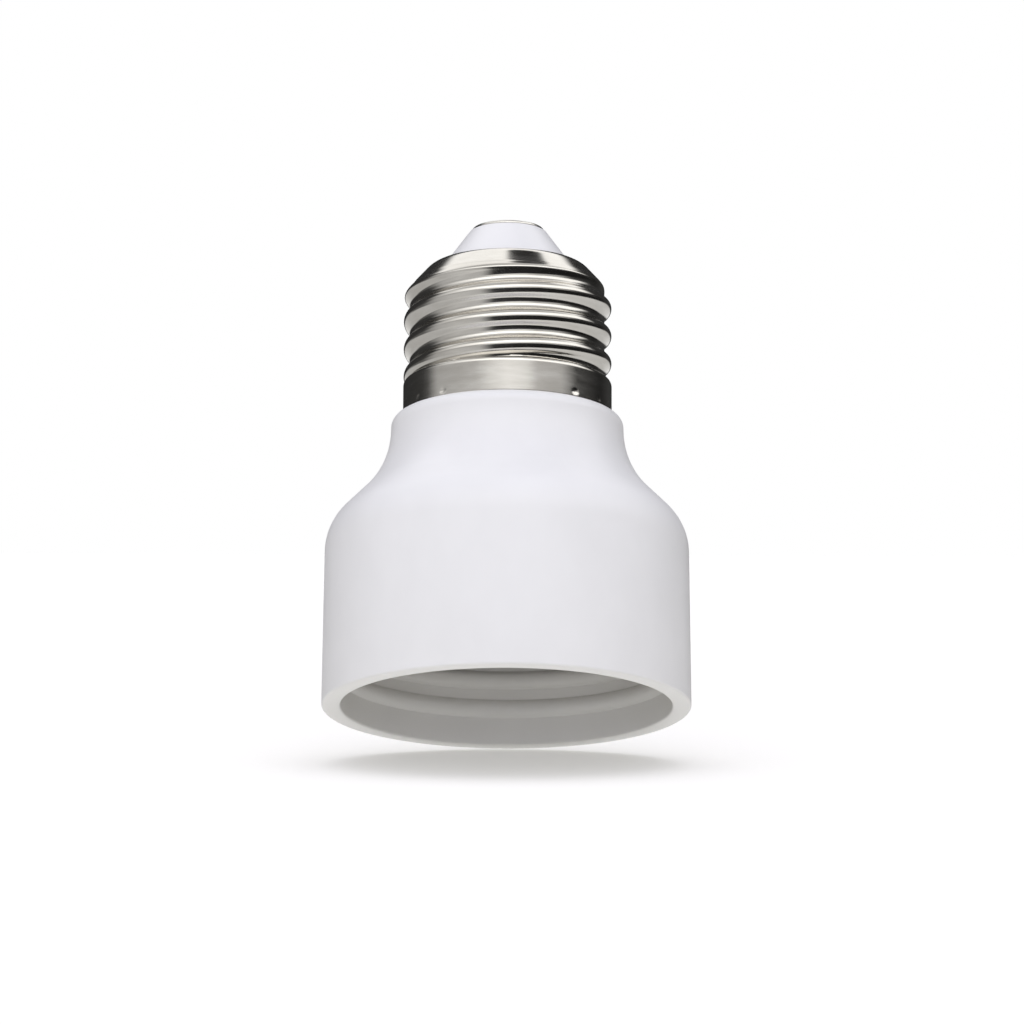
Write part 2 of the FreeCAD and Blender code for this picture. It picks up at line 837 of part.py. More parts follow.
def make_screws():
    """The two slotted screws that hold carrier and shell to the housing."""
    body = new_body("carrier_screws")
    under_head = carrier_face - head_seat_depth()
    places = new_sketch(body, "shank_places", "XY_Plane", under_head)
    heads = new_sketch(body, "head_places", "XY_Plane", under_head)
    for way in (1, -1):
        draw_circle(places, screw_circle * way, ZERO, screw_radius)
        draw_circle(heads, screw_circle * way, ZERO, head_radius)
    body.AllowCompound = True
    finish_feature(
        body.newObject("PartDesign::Pad", "shanks"), Profile=places, Length=screw_length
    )
    finish_feature(
        body.newObject("PartDesign::Pad", "heads"),
        Profile=heads,
        Reversed=True,
        Length=head_thickness,
    )
    slots = new_sketch(body, "slot_outline", "XY_Plane", under_head - head_thickness)
    reach = screw_circle + head_radius * 2
    half = slot_width / 2
    draw(slots, [(reach * -1, half * -1), (reach, half * -1), (reach, half), (reach * -1, half)])
    finish_feature(
        body.newObject("PartDesign::Pocket", "driver_slots"),
        Profile=slots,
        Reversed=True,
        Length=slot_depth,
    )
    return body


def make_guide():
    """The drawn brass guide: a tube with a lip that keeps the button in."""
    body = new_body("contact_guide")
    outer = guide_bore + guide_sheet
    turned(
        body,
        "cup",
        [
            (guide_lip, guide_foot),
            (outer, guide_foot),
            (outer, boss_top),
            (guide_flange, boss_top),
            (guide_flange, terminal_face),
            (guide_bore, terminal_face),
            (guide_bore, button_seat),
            (guide_lip, button_seat),
        ],
    )
    return body


def make_button():
    """The sprung contact button, with its domed end and its retained shoulder."""
    body = new_body("contact_button")
    shank = guide_lip - button_clearance
    turned(
        body,
        "plunger",
        [
            (ZERO, button_tip),
            (shank, button_tip + button_dome, bow_radius(shank, button_dome), LEFT),
            (shank, button_seat),
            (guide_bore - button_clearance, button_seat),
            (guide_bore - button_clearance, button_back),
            (button_spigot, button_back),
            (button_spigot, button_back + button_spigot_rise),
            (ZERO, button_back + button_spigot_rise),
        ],
    )
    return body


def make_spring():
    """The coil spring between button and terminal."""
    body = new_body("contact_spring")
    section = draw_circle(
        new_sketch(body, "wire_section"),
        spring_radius,
        button_back + spring_wire / 2,
        spring_wire / 2,
    )
    pitch = (terminal_face - button_back - spring_wire) / spring_turns
    coiled(body, "coil", section, pitch, spring_turns)
    return body


def make_terminal():
    """The brass disc that closes the guide, with a post for the live lead."""
    body = new_body("live_terminal")
    turned(
        body,
        "disc",
        [
            (ZERO, terminal_face),
            (guide_flange, terminal_face),
            (guide_flange, terminal_face + terminal_thickness),
            (ZERO, terminal_face + terminal_thickness),
        ],
    )
    post = draw_circle(
        new_sketch(body, "post_place", "XY_Plane", terminal_face + terminal_thickness),
        post_offset,
        ZERO,
        post_radius,
    )
    finish_feature(
        body.newObject("PartDesign::Pad", "post"), Profile=post, Length=post_rise
    )
    return body


def lead_route():
    """The lead's route in the XZ plane: equal upright runs at its ends and a slant between."""
    top_z = cavity_top - clench_thickness
    end_run = (top_z - post_top - lead_slant) / 2
    upper = (ZERO.value, top_z.value - end_run.value)
    lower = (post_offset.value, post_top.value + end_run.value)
    across, down = lower[0] - upper[0], upper[1] - lower[1]
    turn = math.atan2(across, down)
    tangent = lead_bend.value * math.tan(turn / 2)
    unit = FreeCAD.Vector(math.sin(turn), 0, -math.cos(turn))
    up = FreeCAD.Vector(0, 0, 1)
    high = FreeCAD.Vector(upper[0], 0, upper[1])
    low = FreeCAD.Vector(lower[0], 0, lower[1])
    middle = lead_bend.value * (1 / math.cos(turn / 2) - 1)
    half_turn = FreeCAD.Vector(math.cos(turn / 2), 0, math.sin(turn / 2))
    points = [
        FreeCAD.Vector(0, 0, top_z.value),
        high + up * tangent,
        high + half_turn * middle,
        high + unit * tangent,
        low - unit * tangent,
        low - half_turn * middle,
        low - up * tangent,
        FreeCAD.Vector(lower[0], 0, post_top.value),
    ]
    edges = [
        Part.LineSegment(points[0], points[1]).toShape(),
        Part.Arc(points[1], points[2], points[3]).toShape(),
        Part.LineSegment(points[3], points[4]).toShape(),
        Part.Arc(points[4], points[5], points[6]).toShape(),
        Part.LineSegment(points[6], points[7]).toShape(),
    ]
    return Part.Wire(edges)


def make_lead():
    """The insulated live lead, whose bent route runs from the terminal to the tip."""
    route = lead_route()
    start = route.Vertexes[0].Point
    ring = Part.Circle(start, FreeCAD.Vector(0, 0, 1), lead_radius.value).toShape()
    feature = DOC.addObject("Part::Feature", "live_lead")
    feature.Label = "live_lead"
    feature.Shape = route.makePipeShell([Part.Wire(ring)], True, True)
    feature.Placement = FreeCAD.Placement()
    expected = route.Length * math.pi * lead_radius.value**2
    print(f"live lead: length {route.Length:.2f}, bend radius {lead_bend.value:.2f}")
    if abs(feature.Shape.Volume - expected) > 0.01 * expected:
        sys.exit("the lead's volume isn't its section times its length")
    return feature


def strap_places():
    """The strap's inner and outer distance from the axis along its rise."""
    reach = cap_minor - cap_sheet - strap_edge_gap
    half = strap_width / 2
    outer_y = root(reach * reach - half * half)
    return outer_y - strap_thickness, outer_y


def make_strap():
    """The folded brass strap from the socket's flange up to the inside of the cap."""
    body = new_body("neutral_strap")
    inner_y, outer_y = strap_places()
    top_z = floor_height + strap_rise
    inner_z = floor_height + strap_thickness
    outer_bend = strap_bend + strap_thickness
    outline = new_sketch(body, "strap_outline", "YZ_Plane")
    draw(
        outline,
        [
            (outer_y - strap_tab, floor_height),
            (outer_y - outer_bend, floor_height),
            (outer_y, floor_height + outer_bend, outer_bend, LEFT),
            (outer_y, top_z),
            (inner_y, top_z),
            (inner_y, inner_z + strap_bend),
            (inner_y - strap_bend, inner_z, strap_bend, RIGHT),
            (outer_y - strap_tab, inner_z),
        ],
    )
    finish_feature(
        body.newObject("PartDesign::Pad", "strip"),
        Profile=outline,
        Midplane=True,
        Length=strap_width,
    )
    return body


def check(parts):
    """Stop if any object failed or any sub-part is empty or broken."""
    DOC.recompute()
    for thing in DOC.Objects:
        if any(fault in thing.State for fault in STATE_FAULTS):
            sys.exit(f"{thing.Name} failed: {thing.State}")
    for part in parts:
        if part.Shape.isNull() or not part.Shape.isValid() or not part.Shape.Solids:
            sys.exit(f"{part.Label} has no valid solid")


def write(parts):
    """Write each sub-part to its own file."""
    os.makedirs("parts", exist_ok=True)
    for part in parts:
        part.Shape.exportStep(os.path.join("parts", f"{part.Label}.step"))
        solids = len(part.Shape.Solids)
        print(f"{part.Label}: {solids} solid(s), {part.Shape.Volume:.1f} mm3")


SUB_PARTS = [
    make_housing(),
    make_screw_cap(),
    make_tip_contact(),
    make_mogul_shell(),
    make_carrier(),
    make_screws(),
    make_guide(),
    make_button(),
    make_spring(),
    make_terminal(),
    make_lead(),
    make_strap(),
]
check(SUB_PARTS)
write(SUB_PARTS)
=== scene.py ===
import logging
import math
from dataclasses import dataclass
from enum import Enum
from typing import Any, Sequence

import bmesh
import bpy
from mathutils import Matrix, Vector


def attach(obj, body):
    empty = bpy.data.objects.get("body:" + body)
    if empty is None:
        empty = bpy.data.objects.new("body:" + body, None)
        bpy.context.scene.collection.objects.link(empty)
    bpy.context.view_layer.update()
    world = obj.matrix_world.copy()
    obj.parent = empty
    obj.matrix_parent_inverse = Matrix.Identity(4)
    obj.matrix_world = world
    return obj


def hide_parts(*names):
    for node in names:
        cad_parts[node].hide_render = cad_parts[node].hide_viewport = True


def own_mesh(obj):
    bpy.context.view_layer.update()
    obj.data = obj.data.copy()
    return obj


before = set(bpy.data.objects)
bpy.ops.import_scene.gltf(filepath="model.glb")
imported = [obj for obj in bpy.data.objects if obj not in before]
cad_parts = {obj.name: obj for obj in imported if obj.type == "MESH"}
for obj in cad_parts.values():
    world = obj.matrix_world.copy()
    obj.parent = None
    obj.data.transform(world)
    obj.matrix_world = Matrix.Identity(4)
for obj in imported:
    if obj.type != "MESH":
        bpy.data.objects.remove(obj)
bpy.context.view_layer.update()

log = logging.getLogger("lamp_socket_adapter")
logging.basicConfig(level=logging.INFO, format="%(name)s: %(message)s")

MM = 0.001
TURN = 2 * math.pi
SHARP_ANGLE = math.radians(32)
TOUCHING = 1e-6
FINE_STEP_MM = 0.08

Point = tuple[float, float]
Colour = tuple[float, float, float, float]


class Body(Enum):
    """The CAD bodies that pieces ride on."""

    ADAPTER = "adapter"
    BUTTON = "button"


def linear(hex_code: str, alpha: float = 1.0) -> Colour:
    """Turn an sRGB hex colour into the linear colour that the shaders take.

    Args:
        hex_code: Colour as RRGGBB.
        alpha: Opacity.

    Returns:
        Red, green, blue and alpha, linear.
    """
    parts = [int(hex_code[i : i + 2], 16) / 255 for i in (0, 2, 4)]
    lin = [c / 12.92 if c <= 0.04045 else ((c + 0.055) / 1.055) ** 2.4 for c in parts]
    return (lin[0], lin[1], lin[2], alpha)


def add_node(tree: Any, kind: str, inputs: dict | None = None, **settings: Any) -> Any:
    """Add a node to a tree, with its settings and its links.

    Args:
        tree: The node tree.
        kind: Blender's name for the node's type.
        inputs: Socket name or number to a socket to link, or a value to set.
        settings: Attributes of the node.

    Returns:
        The new node.
    """
    node = tree.nodes.new(kind)
    for name, value in settings.items():
        setattr(node, name, value)
    for key, value in (inputs or {}).items():
        if isinstance(value, bpy.types.NodeSocket):
            tree.links.new(value, node.inputs[key])
        else:
            node.inputs[key].default_value = value
    return node


def new_material(name: str) -> tuple[Any, Any, Any]:
    """Start a material with a Principled shader.

    Args:
        name: The material's name.

    Returns:
        The material, its node tree and its Principled node.
    """
    material = bpy.data.materials.new(name)
    material.use_nodes = True
    tree = material.node_tree
    tree.nodes.clear()
    shader = add_node(tree, "ShaderNodeBsdfPrincipled")
    add_node(tree, "ShaderNodeOutputMaterial", {"Surface": shader.outputs[0]})
    return material, tree, shader


@dataclass(frozen=True)
class Grain:
    """A noise in a finish, sized in millimetres along each axis."""

    size_mm: tuple[float, float, float]
    detail: float = 3.0
    roughness: float = 0.55

    def add(self, tree: Any) -> Any:
        """Add the noise to a tree and return its factor socket."""
        place = add_node(tree, "ShaderNodeTexCoord").outputs["Object"]
        scale = tuple(1 / (size * MM) for size in self.size_mm)
        spread = add_node(tree, "ShaderNodeMapping", {"Vector": place, "Scale": scale})
        noise = add_node(
            tree,
            "ShaderNodeTexNoise",
            {
                "Vector": spread.outputs[0],
                "Scale": 1.0,
                "Detail": self.detail,
                "Roughness": self.roughness,
            },
        )
        return noise.outputs[0]


@dataclass(frozen=True)
class Finish:
    """A surface: two close tints, its gloss, and the grain that moves between them.

    Attributes:
        name: What the real material is called, and how its surface was made.
        light: Lighter tint, sRGB hex.
        dark: Darker tint, sRGB hex.
        gloss: Lowest and highest roughness over the grain.
        tint_grain: Noise that mixes the tints and the gloss.
        relief_grain: Noise that makes the relief.
        relief_mm: Height of the relief.
        metallic: 1 for a metal.
        coat: Weight of a clear coat.
    """

    name: str
    light: str
    dark: str
    gloss: Point
    tint_grain: Grain
    relief_grain: Grain
    relief_mm: float
    metallic: float = 0.0
    coat: float = 0.0

    def material(self) -> Any:
        """Build the finish as a material."""
        material, tree, shader = new_material(self.name)
        shader.inputs["Metallic"].default_value = self.metallic
        shader.inputs["Coat Weight"].default_value = self.coat
        blend = self.tint_grain.add(tree)
        even = add_node(
            tree,
            "ShaderNodeMapRange",
            {"Value": blend, "From Min": 0.3, "From Max": 0.7},
        ).outputs[0]
        tint = add_node(
            tree,
            "ShaderNodeMix",
            {0: even, 6: linear(self.dark), 7: linear(self.light)},
            data_type="RGBA",
        )
        gloss = add_node(
            tree,
            "ShaderNodeMapRange",
            {"Value": even, "To Min": self.gloss[0], "To Max": self.gloss[1]},
        )
        relief = add_node(
            tree,
            "ShaderNodeBump",
            {
                "Height": self.relief_grain.add(tree),
                "Distance": self.relief_mm * MM,
                "Strength": 1.0,
            },
        )
        tree.links.new(tint.outputs[2], shader.inputs["Base Color"])
        tree.links.new(gloss.outputs[0], shader.inputs["Roughness"])
        tree.links.new(relief.outputs[0], shader.inputs["Normal"])
        return material


# Injection-moulded PBT: a pale, even white with a satin skin. The tool's fine
# spark-eroded grit, about a third of a millimetre, breaks up its highlights.
MOULDED_PBT = Finish(
    name="moulded_pbt",
    light="EFEEE9",
    dark="EBEAE5",
    gloss=(0.36, 0.44),
    tint_grain=Grain((9.0, 9.0, 14.0)),
    relief_grain=Grain((0.35, 0.35, 0.35), detail=2.0),
    relief_mm=0.004,
)

# Bright nickel plate on brass sheet: silver with a faint warm cast, and fine rolling
# lines that run round the shell, so its reflections are clear but drawn out a little
# along the axis.
NICKEL_PLATE = Finish(
    name="rolled_nickel_plate",
    light="D9D6D0",
    dark="CCC8C1",
    gloss=(0.10, 0.17),
    tint_grain=Grain((5.0, 5.0, 1.1)),
    relief_grain=Grain((3.0, 3.0, 0.12), detail=2.0),
    relief_mm=0.0008,
    metallic=1.0,
)

# Bright nickel plate on a turned rivet: the same metal with a finer, even skin.
TURNED_NICKEL = Finish(
    name="turned_nickel_plate",
    light="DCD9D3",
    dark="D5D2CC",
    gloss=(0.16, 0.2),
    tint_grain=Grain((2.5, 2.5, 2.5)),
    relief_grain=Grain((0.3, 0.3, 0.3), detail=2.0),
    relief_mm=0.0003,
    metallic=1.0,
)

# Pressed steatite: unglazed ceramic, off-white and dull, with a fine speckle.
STEATITE = Finish(
    name="pressed_steatite",
    light="E9E4D8",
    dark="DCD5C6",
    gloss=(0.55, 0.70),
    tint_grain=Grain((0.6, 0.6, 0.6), detail=5.0),
    relief_grain=Grain((0.4, 0.4, 0.4), detail=4.0),
    relief_mm=0.012,
)

# Turned and drawn brass: yellow metal, with fine rings left by the tool.
BRASS = Finish(
    name="turned_brass",
    light="D9B76C",
    dark="C7A253",
    gloss=(0.20, 0.32),
    tint_grain=Grain((2.0, 2.0, 0.8)),
    relief_grain=Grain((2.0, 2.0, 0.15), detail=2.0),
    relief_mm=0.001,
    metallic=1.0,
)

# Zinc-plated steel wire and screws: grey with a faint blue cast and a dull shine.
ZINC_STEEL = Finish(
    name="zinc_plated_steel",
    light="B9BCC0",
    dark="A4A8AD",
    gloss=(0.28, 0.40),
    tint_grain=Grain((0.8, 0.8, 0.8)),
    relief_grain=Grain((0.2, 0.2, 0.2), detail=2.0),
    relief_mm=0.001,
    metallic=1.0,
)

# Extruded silicone sleeve: milky and dull, with a powdery skin.
SILICONE = Finish(
    name="extruded_silicone",
    light="E6E3DB",
    dark="DEDACF",
    gloss=(0.50, 0.60),
    tint_grain=Grain((1.0, 1.0, 4.0)),
    relief_grain=Grain((0.3, 0.3, 0.3), detail=2.0),
    relief_mm=0.003,
)


@dataclass(frozen=True)
class Corner:
    """A corner of a turned outline: radius, height and rounding, in millimetres."""

    r: float
    z: float
    rounding: float = 0.0


def rounded(corners: Sequence[Corner], step_mm: float = 0.35) -> list[Point]:
    """Round the corners of an open outline with tangent arcs.

    Args:
        corners: The outline's corners in order.
        step_mm: Longest run of an arc between two points.

    Returns:
        Points of the rounded outline, in millimetres.
    """
    points: list[Point] = []
    for index, corner in enumerate(corners):
        here = Vector((corner.r, corner.z))
        if corner.rounding == 0 or index in (0, len(corners) - 1):
            points.append((corner.r, corner.z))
            continue
        before, after = corners[index - 1], corners[index + 1]
        back = (Vector((before.r, before.z)) - here).normalized()
        ahead = (Vector((after.r, after.z)) - here).normalized()
        half = back.angle(ahead) / 2
        centre = here + (back + ahead).normalized() * corner.rounding / math.sin(half)
        reach = corner.rounding / math.tan(half)
        first, last = here + back * reach - centre, here + ahead * reach - centre
        sweep = first.angle(last)
        steps = max(4, math.ceil(sweep * corner.rounding / step_mm))
        for step in range(steps + 1):
            share = step / steps
            out = (
                first * math.sin((1 - share) * sweep) + last * math.sin(share * sweep)
            ) / math.sin(sweep)
            points.append(tuple(centre + out))
    return points


def finished(mesh: Any, name: str, material: Any) -> Any:
    """Make a mesh into a shown object with smooth faces and sharp corners.

    Args:
        mesh: The mesh, in its place and in metres.
        name: The piece's name.
        material: Its finish.

    Returns:
        The new object.
    """
    mesh.materials.clear()
    mesh.materials.append(material)
    mesh.shade_smooth()
    mesh.set_sharp_from_angle(angle=SHARP_ANGLE)
    piece = bpy.data.objects.new(name, mesh)
    bpy.context.scene.collection.objects.link(piece)
    return piece


def turned(name: str, outline: Sequence[Point], around: int, material: Any) -> Any:
    """Turn a closed outline about the axis.

    Args:
        name: The piece's name.
        outline: Radius and height of each point, in millimetres, anticlockwise in a
            section with the axis on the left; points on the axis have no radius.
        around: Number of faces in a ring.
        material: The piece's finish.

    Returns:
        The turned piece.
    """
    work = bmesh.new()
    rings = []
    for r, z in outline:
        if r < TOUCHING:
            rings.append([work.verts.new((0, 0, z * MM))] * around)
            continue
        ring = []
        for step in range(around):
            angle = TURN * step / around
            spot = (r * math.cos(angle) * MM, r * math.sin(angle) * MM, z * MM)
            ring.append(work.verts.new(spot))
        rings.append(ring)
    for low, high in zip(rings, rings[1:] + rings[:1]):
        for step in range(around):
            following = (step + 1) % around
            loop = [low[step], low[following], high[following], high[step]]
            corners = list(dict.fromkeys(loop))
            if len(corners) > 2:
                work.faces.new(corners)
    bmesh.ops.recalc_face_normals(work, faces=work.faces)
    mesh = bpy.data.meshes.new(name)
    work.to_mesh(mesh)
    work.free()
    return finished(mesh, name, material)


class Kind(Enum):
    """Types of the named inputs of a node tree."""

    LENGTH = "NodeSocketFloat"
    COUNT = "NodeSocketInt"
    MATERIAL = "NodeSocketMaterial"
    GEOMETRY = "NodeSocketGeometry"


class ShapeTree:
    """A Geometry Nodes tree with named inputs, which is run once and made a mesh."""

    def __init__(self, name: str, inputs: dict[str, Kind]) -> None:
        """Start the tree.

        Args:
            name: The tree's name.
            inputs: Name and type of each input after the geometry.
        """
        self.tree = bpy.data.node_groups.new(name, "GeometryNodeTree")
        face = self.tree.interface
        face.new_socket("Geometry", in_out="INPUT", socket_type=Kind.GEOMETRY.value)
        face.new_socket("Geometry", in_out="OUTPUT", socket_type=Kind.GEOMETRY.value)
        self.keys = {}
        for label, kind in inputs.items():
            socket = face.new_socket(label, in_out="INPUT", socket_type=kind.value)
            self.keys[label] = socket.identifier
        self.given = self.add("NodeGroupInput").outputs

    def add(self, kind: str, inputs: dict | None = None, **settings: Any) -> Any:
        """Add a node to this tree, as add_node does."""
        return add_node(self.tree, kind, inputs, **settings)

    def maths(self, operation: str, *values: Any) -> Any:
        """Add one step of arithmetic and return its result socket."""
        inputs = dict(enumerate(values))
        return self.add("ShaderNodeMath", inputs, operation=operation).outputs[0]

    def smooth(self, value: Any, start: Any, end: Any, level: Any = 1.0) -> Any:
        """Add a smooth rise from 0 at the start to a level at the end."""
        inputs = {"Value": value, "From Min": start, "From Max": end, "To Max": level}
        node = self.add("ShaderNodeMapRange", inputs, interpolation_type="SMOOTHSTEP")
        return node.outputs[0]

    def close(self, geometry: Any) -> None:
        """End the tree with its instances made real and its material set.

        Args:
            geometry: The socket with the finished shape.
        """
        real = self.add("GeometryNodeRealizeInstances", {0: geometry}).outputs[0]
        dressed = self.add(
            "GeometryNodeSetMaterial", {0: real, "Material": self.given["Material"]}
        )
        self.add("NodeGroupOutput", {0: dressed.outputs[0]})

    def run(self, name: str, values: dict[str, Any], line: Sequence[Point] = ()) -> Any:
        """Run the tree on an outline and return the mesh it makes.

        Args:
            name: Name of the new mesh.
            values: Value of each named input.
            line: Radius and height of an outline's points, in millimetres.

        Returns:
            The mesh.
        """
        seed = bpy.data.meshes.new(f"{name}_line")
        spots = [(r * MM, 0.0, z * MM) for r, z in line]
        seed.from_pydata(spots, [(i, i + 1) for i in range(len(spots) - 1)], [])
        carrier = bpy.data.objects.new(f"{name}_carrier", seed)
        bpy.context.scene.collection.objects.link(carrier)
        modifier = carrier.modifiers.new("shape", "NODES")
        modifier.node_group = self.tree
        for label, value in values.items():
            modifier[self.keys[label]] = value
        graph = bpy.context.evaluated_depsgraph_get()
        mesh = bpy.data.meshes.new_from_object(carrier.evaluated_get(graph))
        carrier.modifiers.remove(modifier)
        bpy.data.objects.remove(carrier)
        mesh.name = name
        return mesh


def rolled_shell_tree() -> ShapeTree:
    """Build the tree that turns an outline and rolls a knuckle thread into it.

    The thread is two arcs a pitch, as tall as its depth. It stands out from the root
    line on a cap and runs inwards on a socket, which the side input says with 1 or -1.

    Returns:
        The tree.
    """
    lengths = (
        "Root radius",
        "Depth",
        "Pitch",
        "Arc radius",
        "First crest",
        "Start",
        "Start fade",
        "End",
        "End fade",
        "Side",
        "Blend",
        "Dent depth",
        "Dent height",
        "Dent reach",
        "Dent pair",
        "Dent spacing",
        "Dent turn",
    )
    inputs = {label: Kind.LENGTH for label in lengths}
    inputs.update({"Around": Kind.COUNT, "Along": Kind.COUNT, "Dents": Kind.COUNT})
    inputs["Material"] = Kind.MATERIAL
    shape = ShapeTree("rolled_shell", inputs)
    given, maths = shape.given, shape.maths

    grid = shape.add(
        "GeometryNodeMeshGrid",
        {
            "Size X": 1.0,
            "Size Y": 1.0,
            "Vertices X": maths("ADD", given["Around"], 1),
            "Vertices Y": given["Along"],
        },
    )
    sheet = shape.add("GeometryNodeInputPosition").outputs[0]
    flat = shape.add("ShaderNodeSeparateXYZ", {0: sheet})
    turn = maths("ADD", flat.outputs[0], 0.5)
    way = maths("ADD", flat.outputs[1], 0.5)
    line = shape.add("GeometryNodeMeshToCurve", {0: given["Geometry"]}).outputs[0]
    sample = shape.add(
        "GeometryNodeSampleCurve",
        {"Curves": line, "Factor": way},
        mode="FACTOR",
        use_all_curves=True,
    )
    spot = shape.add("ShaderNodeSeparateXYZ", {0: sample.outputs["Position"]})
    base, height = spot.outputs[0], spot.outputs[2]

    rise = maths("MULTIPLY", given["Pitch"], turn)
    above = maths("SUBTRACT", maths("SUBTRACT", height, given["First crest"]), rise)
    half = maths("MULTIPLY", given["Pitch"], 0.5)
    off = maths("ABSOLUTE", maths("WRAP", above, half, maths("MULTIPLY", half, -1)))
    run = maths("MINIMUM", off, maths("SUBTRACT", half, off))
    radius = given["Arc radius"]
    run_squared = maths("MULTIPLY", run, run)
    square = maths("SUBTRACT", maths("MULTIPLY", radius, radius), run_squared)
    sag = maths("SUBTRACT", radius, maths("SQRT", square))
    side_of_flank = maths("SIGN", maths("SUBTRACT", maths("MULTIPLY", half, 0.5), off))
    middle = maths("MULTIPLY", given["Depth"], 0.5)
    swing = maths("MULTIPLY", side_of_flank, maths("SUBTRACT", middle, sag))
    ridge = maths("ADD", middle, swing)

    full = maths("ADD", given["Start"], given["Start fade"])
    fade_in = shape.smooth(height, given["Start"], full)
    full = maths("SUBTRACT", given["End"], given["End fade"])
    fade_out = shape.smooth(height, given["End"], full)
    rolled = maths("MULTIPLY", ridge, maths("MULTIPLY", fade_in, fade_out))
    side = given["Side"]
    plain = maths("MULTIPLY", base, side)
    root = maths("MULTIPLY", given["Root radius"], side)
    thread = maths("ADD", maths("MINIMUM", plain, root), rolled)
    joined = maths("SMOOTH_MAX", plain, thread, given["Blend"])
    reach = maths("MULTIPLY", joined, side)

    # Pairs of punch marks round the foot: each point of the sheet finds the nearest.
    index = shape.add("GeometryNodeInputIndex").outputs[0]
    pair = maths("FLOOR", maths("MULTIPLY", index, 0.5))
    which = maths("SUBTRACT", maths("MULTIPLY", maths("MODULO", index, 2), 2), 1)
    dent_angle = maths(
        "ADD",
        maths("MULTIPLY", pair, given["Dent spacing"]),
        maths("MULTIPLY_ADD", which, given["Dent pair"], given["Dent turn"]),
    )
    dent_spot = shape.add(
        "ShaderNodeCombineXYZ",
        {
            0: maths("MULTIPLY", maths("COSINE", dent_angle), given["Root radius"]),
            1: maths("MULTIPLY", maths("SINE", dent_angle), given["Root radius"]),
            2: given["Dent height"],
        },
    )
    dents = shape.add(
        "GeometryNodePoints",
        {"Count": given["Dents"], "Position": dent_spot.outputs[0]},
    )
    angle = maths("MULTIPLY", turn, TURN)
    cos, sin = maths("COSINE", angle), maths("SINE", angle)
    probe = shape.add(
        "ShaderNodeCombineXYZ",
        {
            0: maths("MULTIPLY", cos, given["Root radius"]),
            1: maths("MULTIPLY", sin, given["Root radius"]),
            2: height,
        },
    )
    near = shape.add(
        "GeometryNodeProximity",
        {"Target": dents.outputs[0], "Source Position": probe.outputs[0]},
        target_element="POINTS",
    )
    distance = near.outputs["Distance"]
    dent = shape.smooth(distance, given["Dent reach"], 0.0, given["Dent depth"])
    shown = maths("SUBTRACT", reach, dent)
    place = shape.add(
        "ShaderNodeCombineXYZ",
        {0: maths("MULTIPLY", cos, shown), 1: maths("MULTIPLY", sin, shown), 2: height},
    )
    moved = shape.add(
        "GeometryNodeSetPosition", {0: grid.outputs[0], "Position": place.outputs[0]}
    ).outputs[0]
    joined_seam = shape.add(
        "GeometryNodeMergeByDistance", {0: moved, "Distance": TOUCHING}
    )
    shape.close(joined_seam.outputs[0])
    return shape


def spring_tree() -> ShapeTree:
    """Build the tree that coils a wire.

    Returns:
        The tree.
    """
    inputs = {
        "Coil radius": Kind.LENGTH,
        "Wire radius": Kind.LENGTH,
        "Foot": Kind.LENGTH,
        "Height": Kind.LENGTH,
        "Turns": Kind.LENGTH,
        "Steps": Kind.COUNT,
        "Material": Kind.MATERIAL,
    }
    shape = ShapeTree("coil_spring", inputs)
    given = shape.given
    coil = shape.add(
        "GeometryNodeCurveSpiral",
        {
            "Resolution": given["Steps"],
            "Rotations": given["Turns"],
            "Start Radius": given["Coil radius"],
            "End Radius": given["Coil radius"],
            "Height": given["Height"],
        },
    ).outputs[0]
    wire = shape.add(
        "GeometryNodeCurvePrimitiveCircle",
        {"Resolution": 12, "Radius": given["Wire radius"]},
    ).outputs[0]
    swept = shape.add(
        "GeometryNodeCurveToMesh",
        {"Curve": coil, "Profile Curve": wire, "Fill Caps": True},
    ).outputs[0]
    lift = shape.add("ShaderNodeCombineXYZ", {2: given["Foot"]}).outputs[0]
    placed = shape.add("GeometryNodeTransform", {0: swept, "Translation": lift})
    shape.close(placed.outputs[0])
    return shape


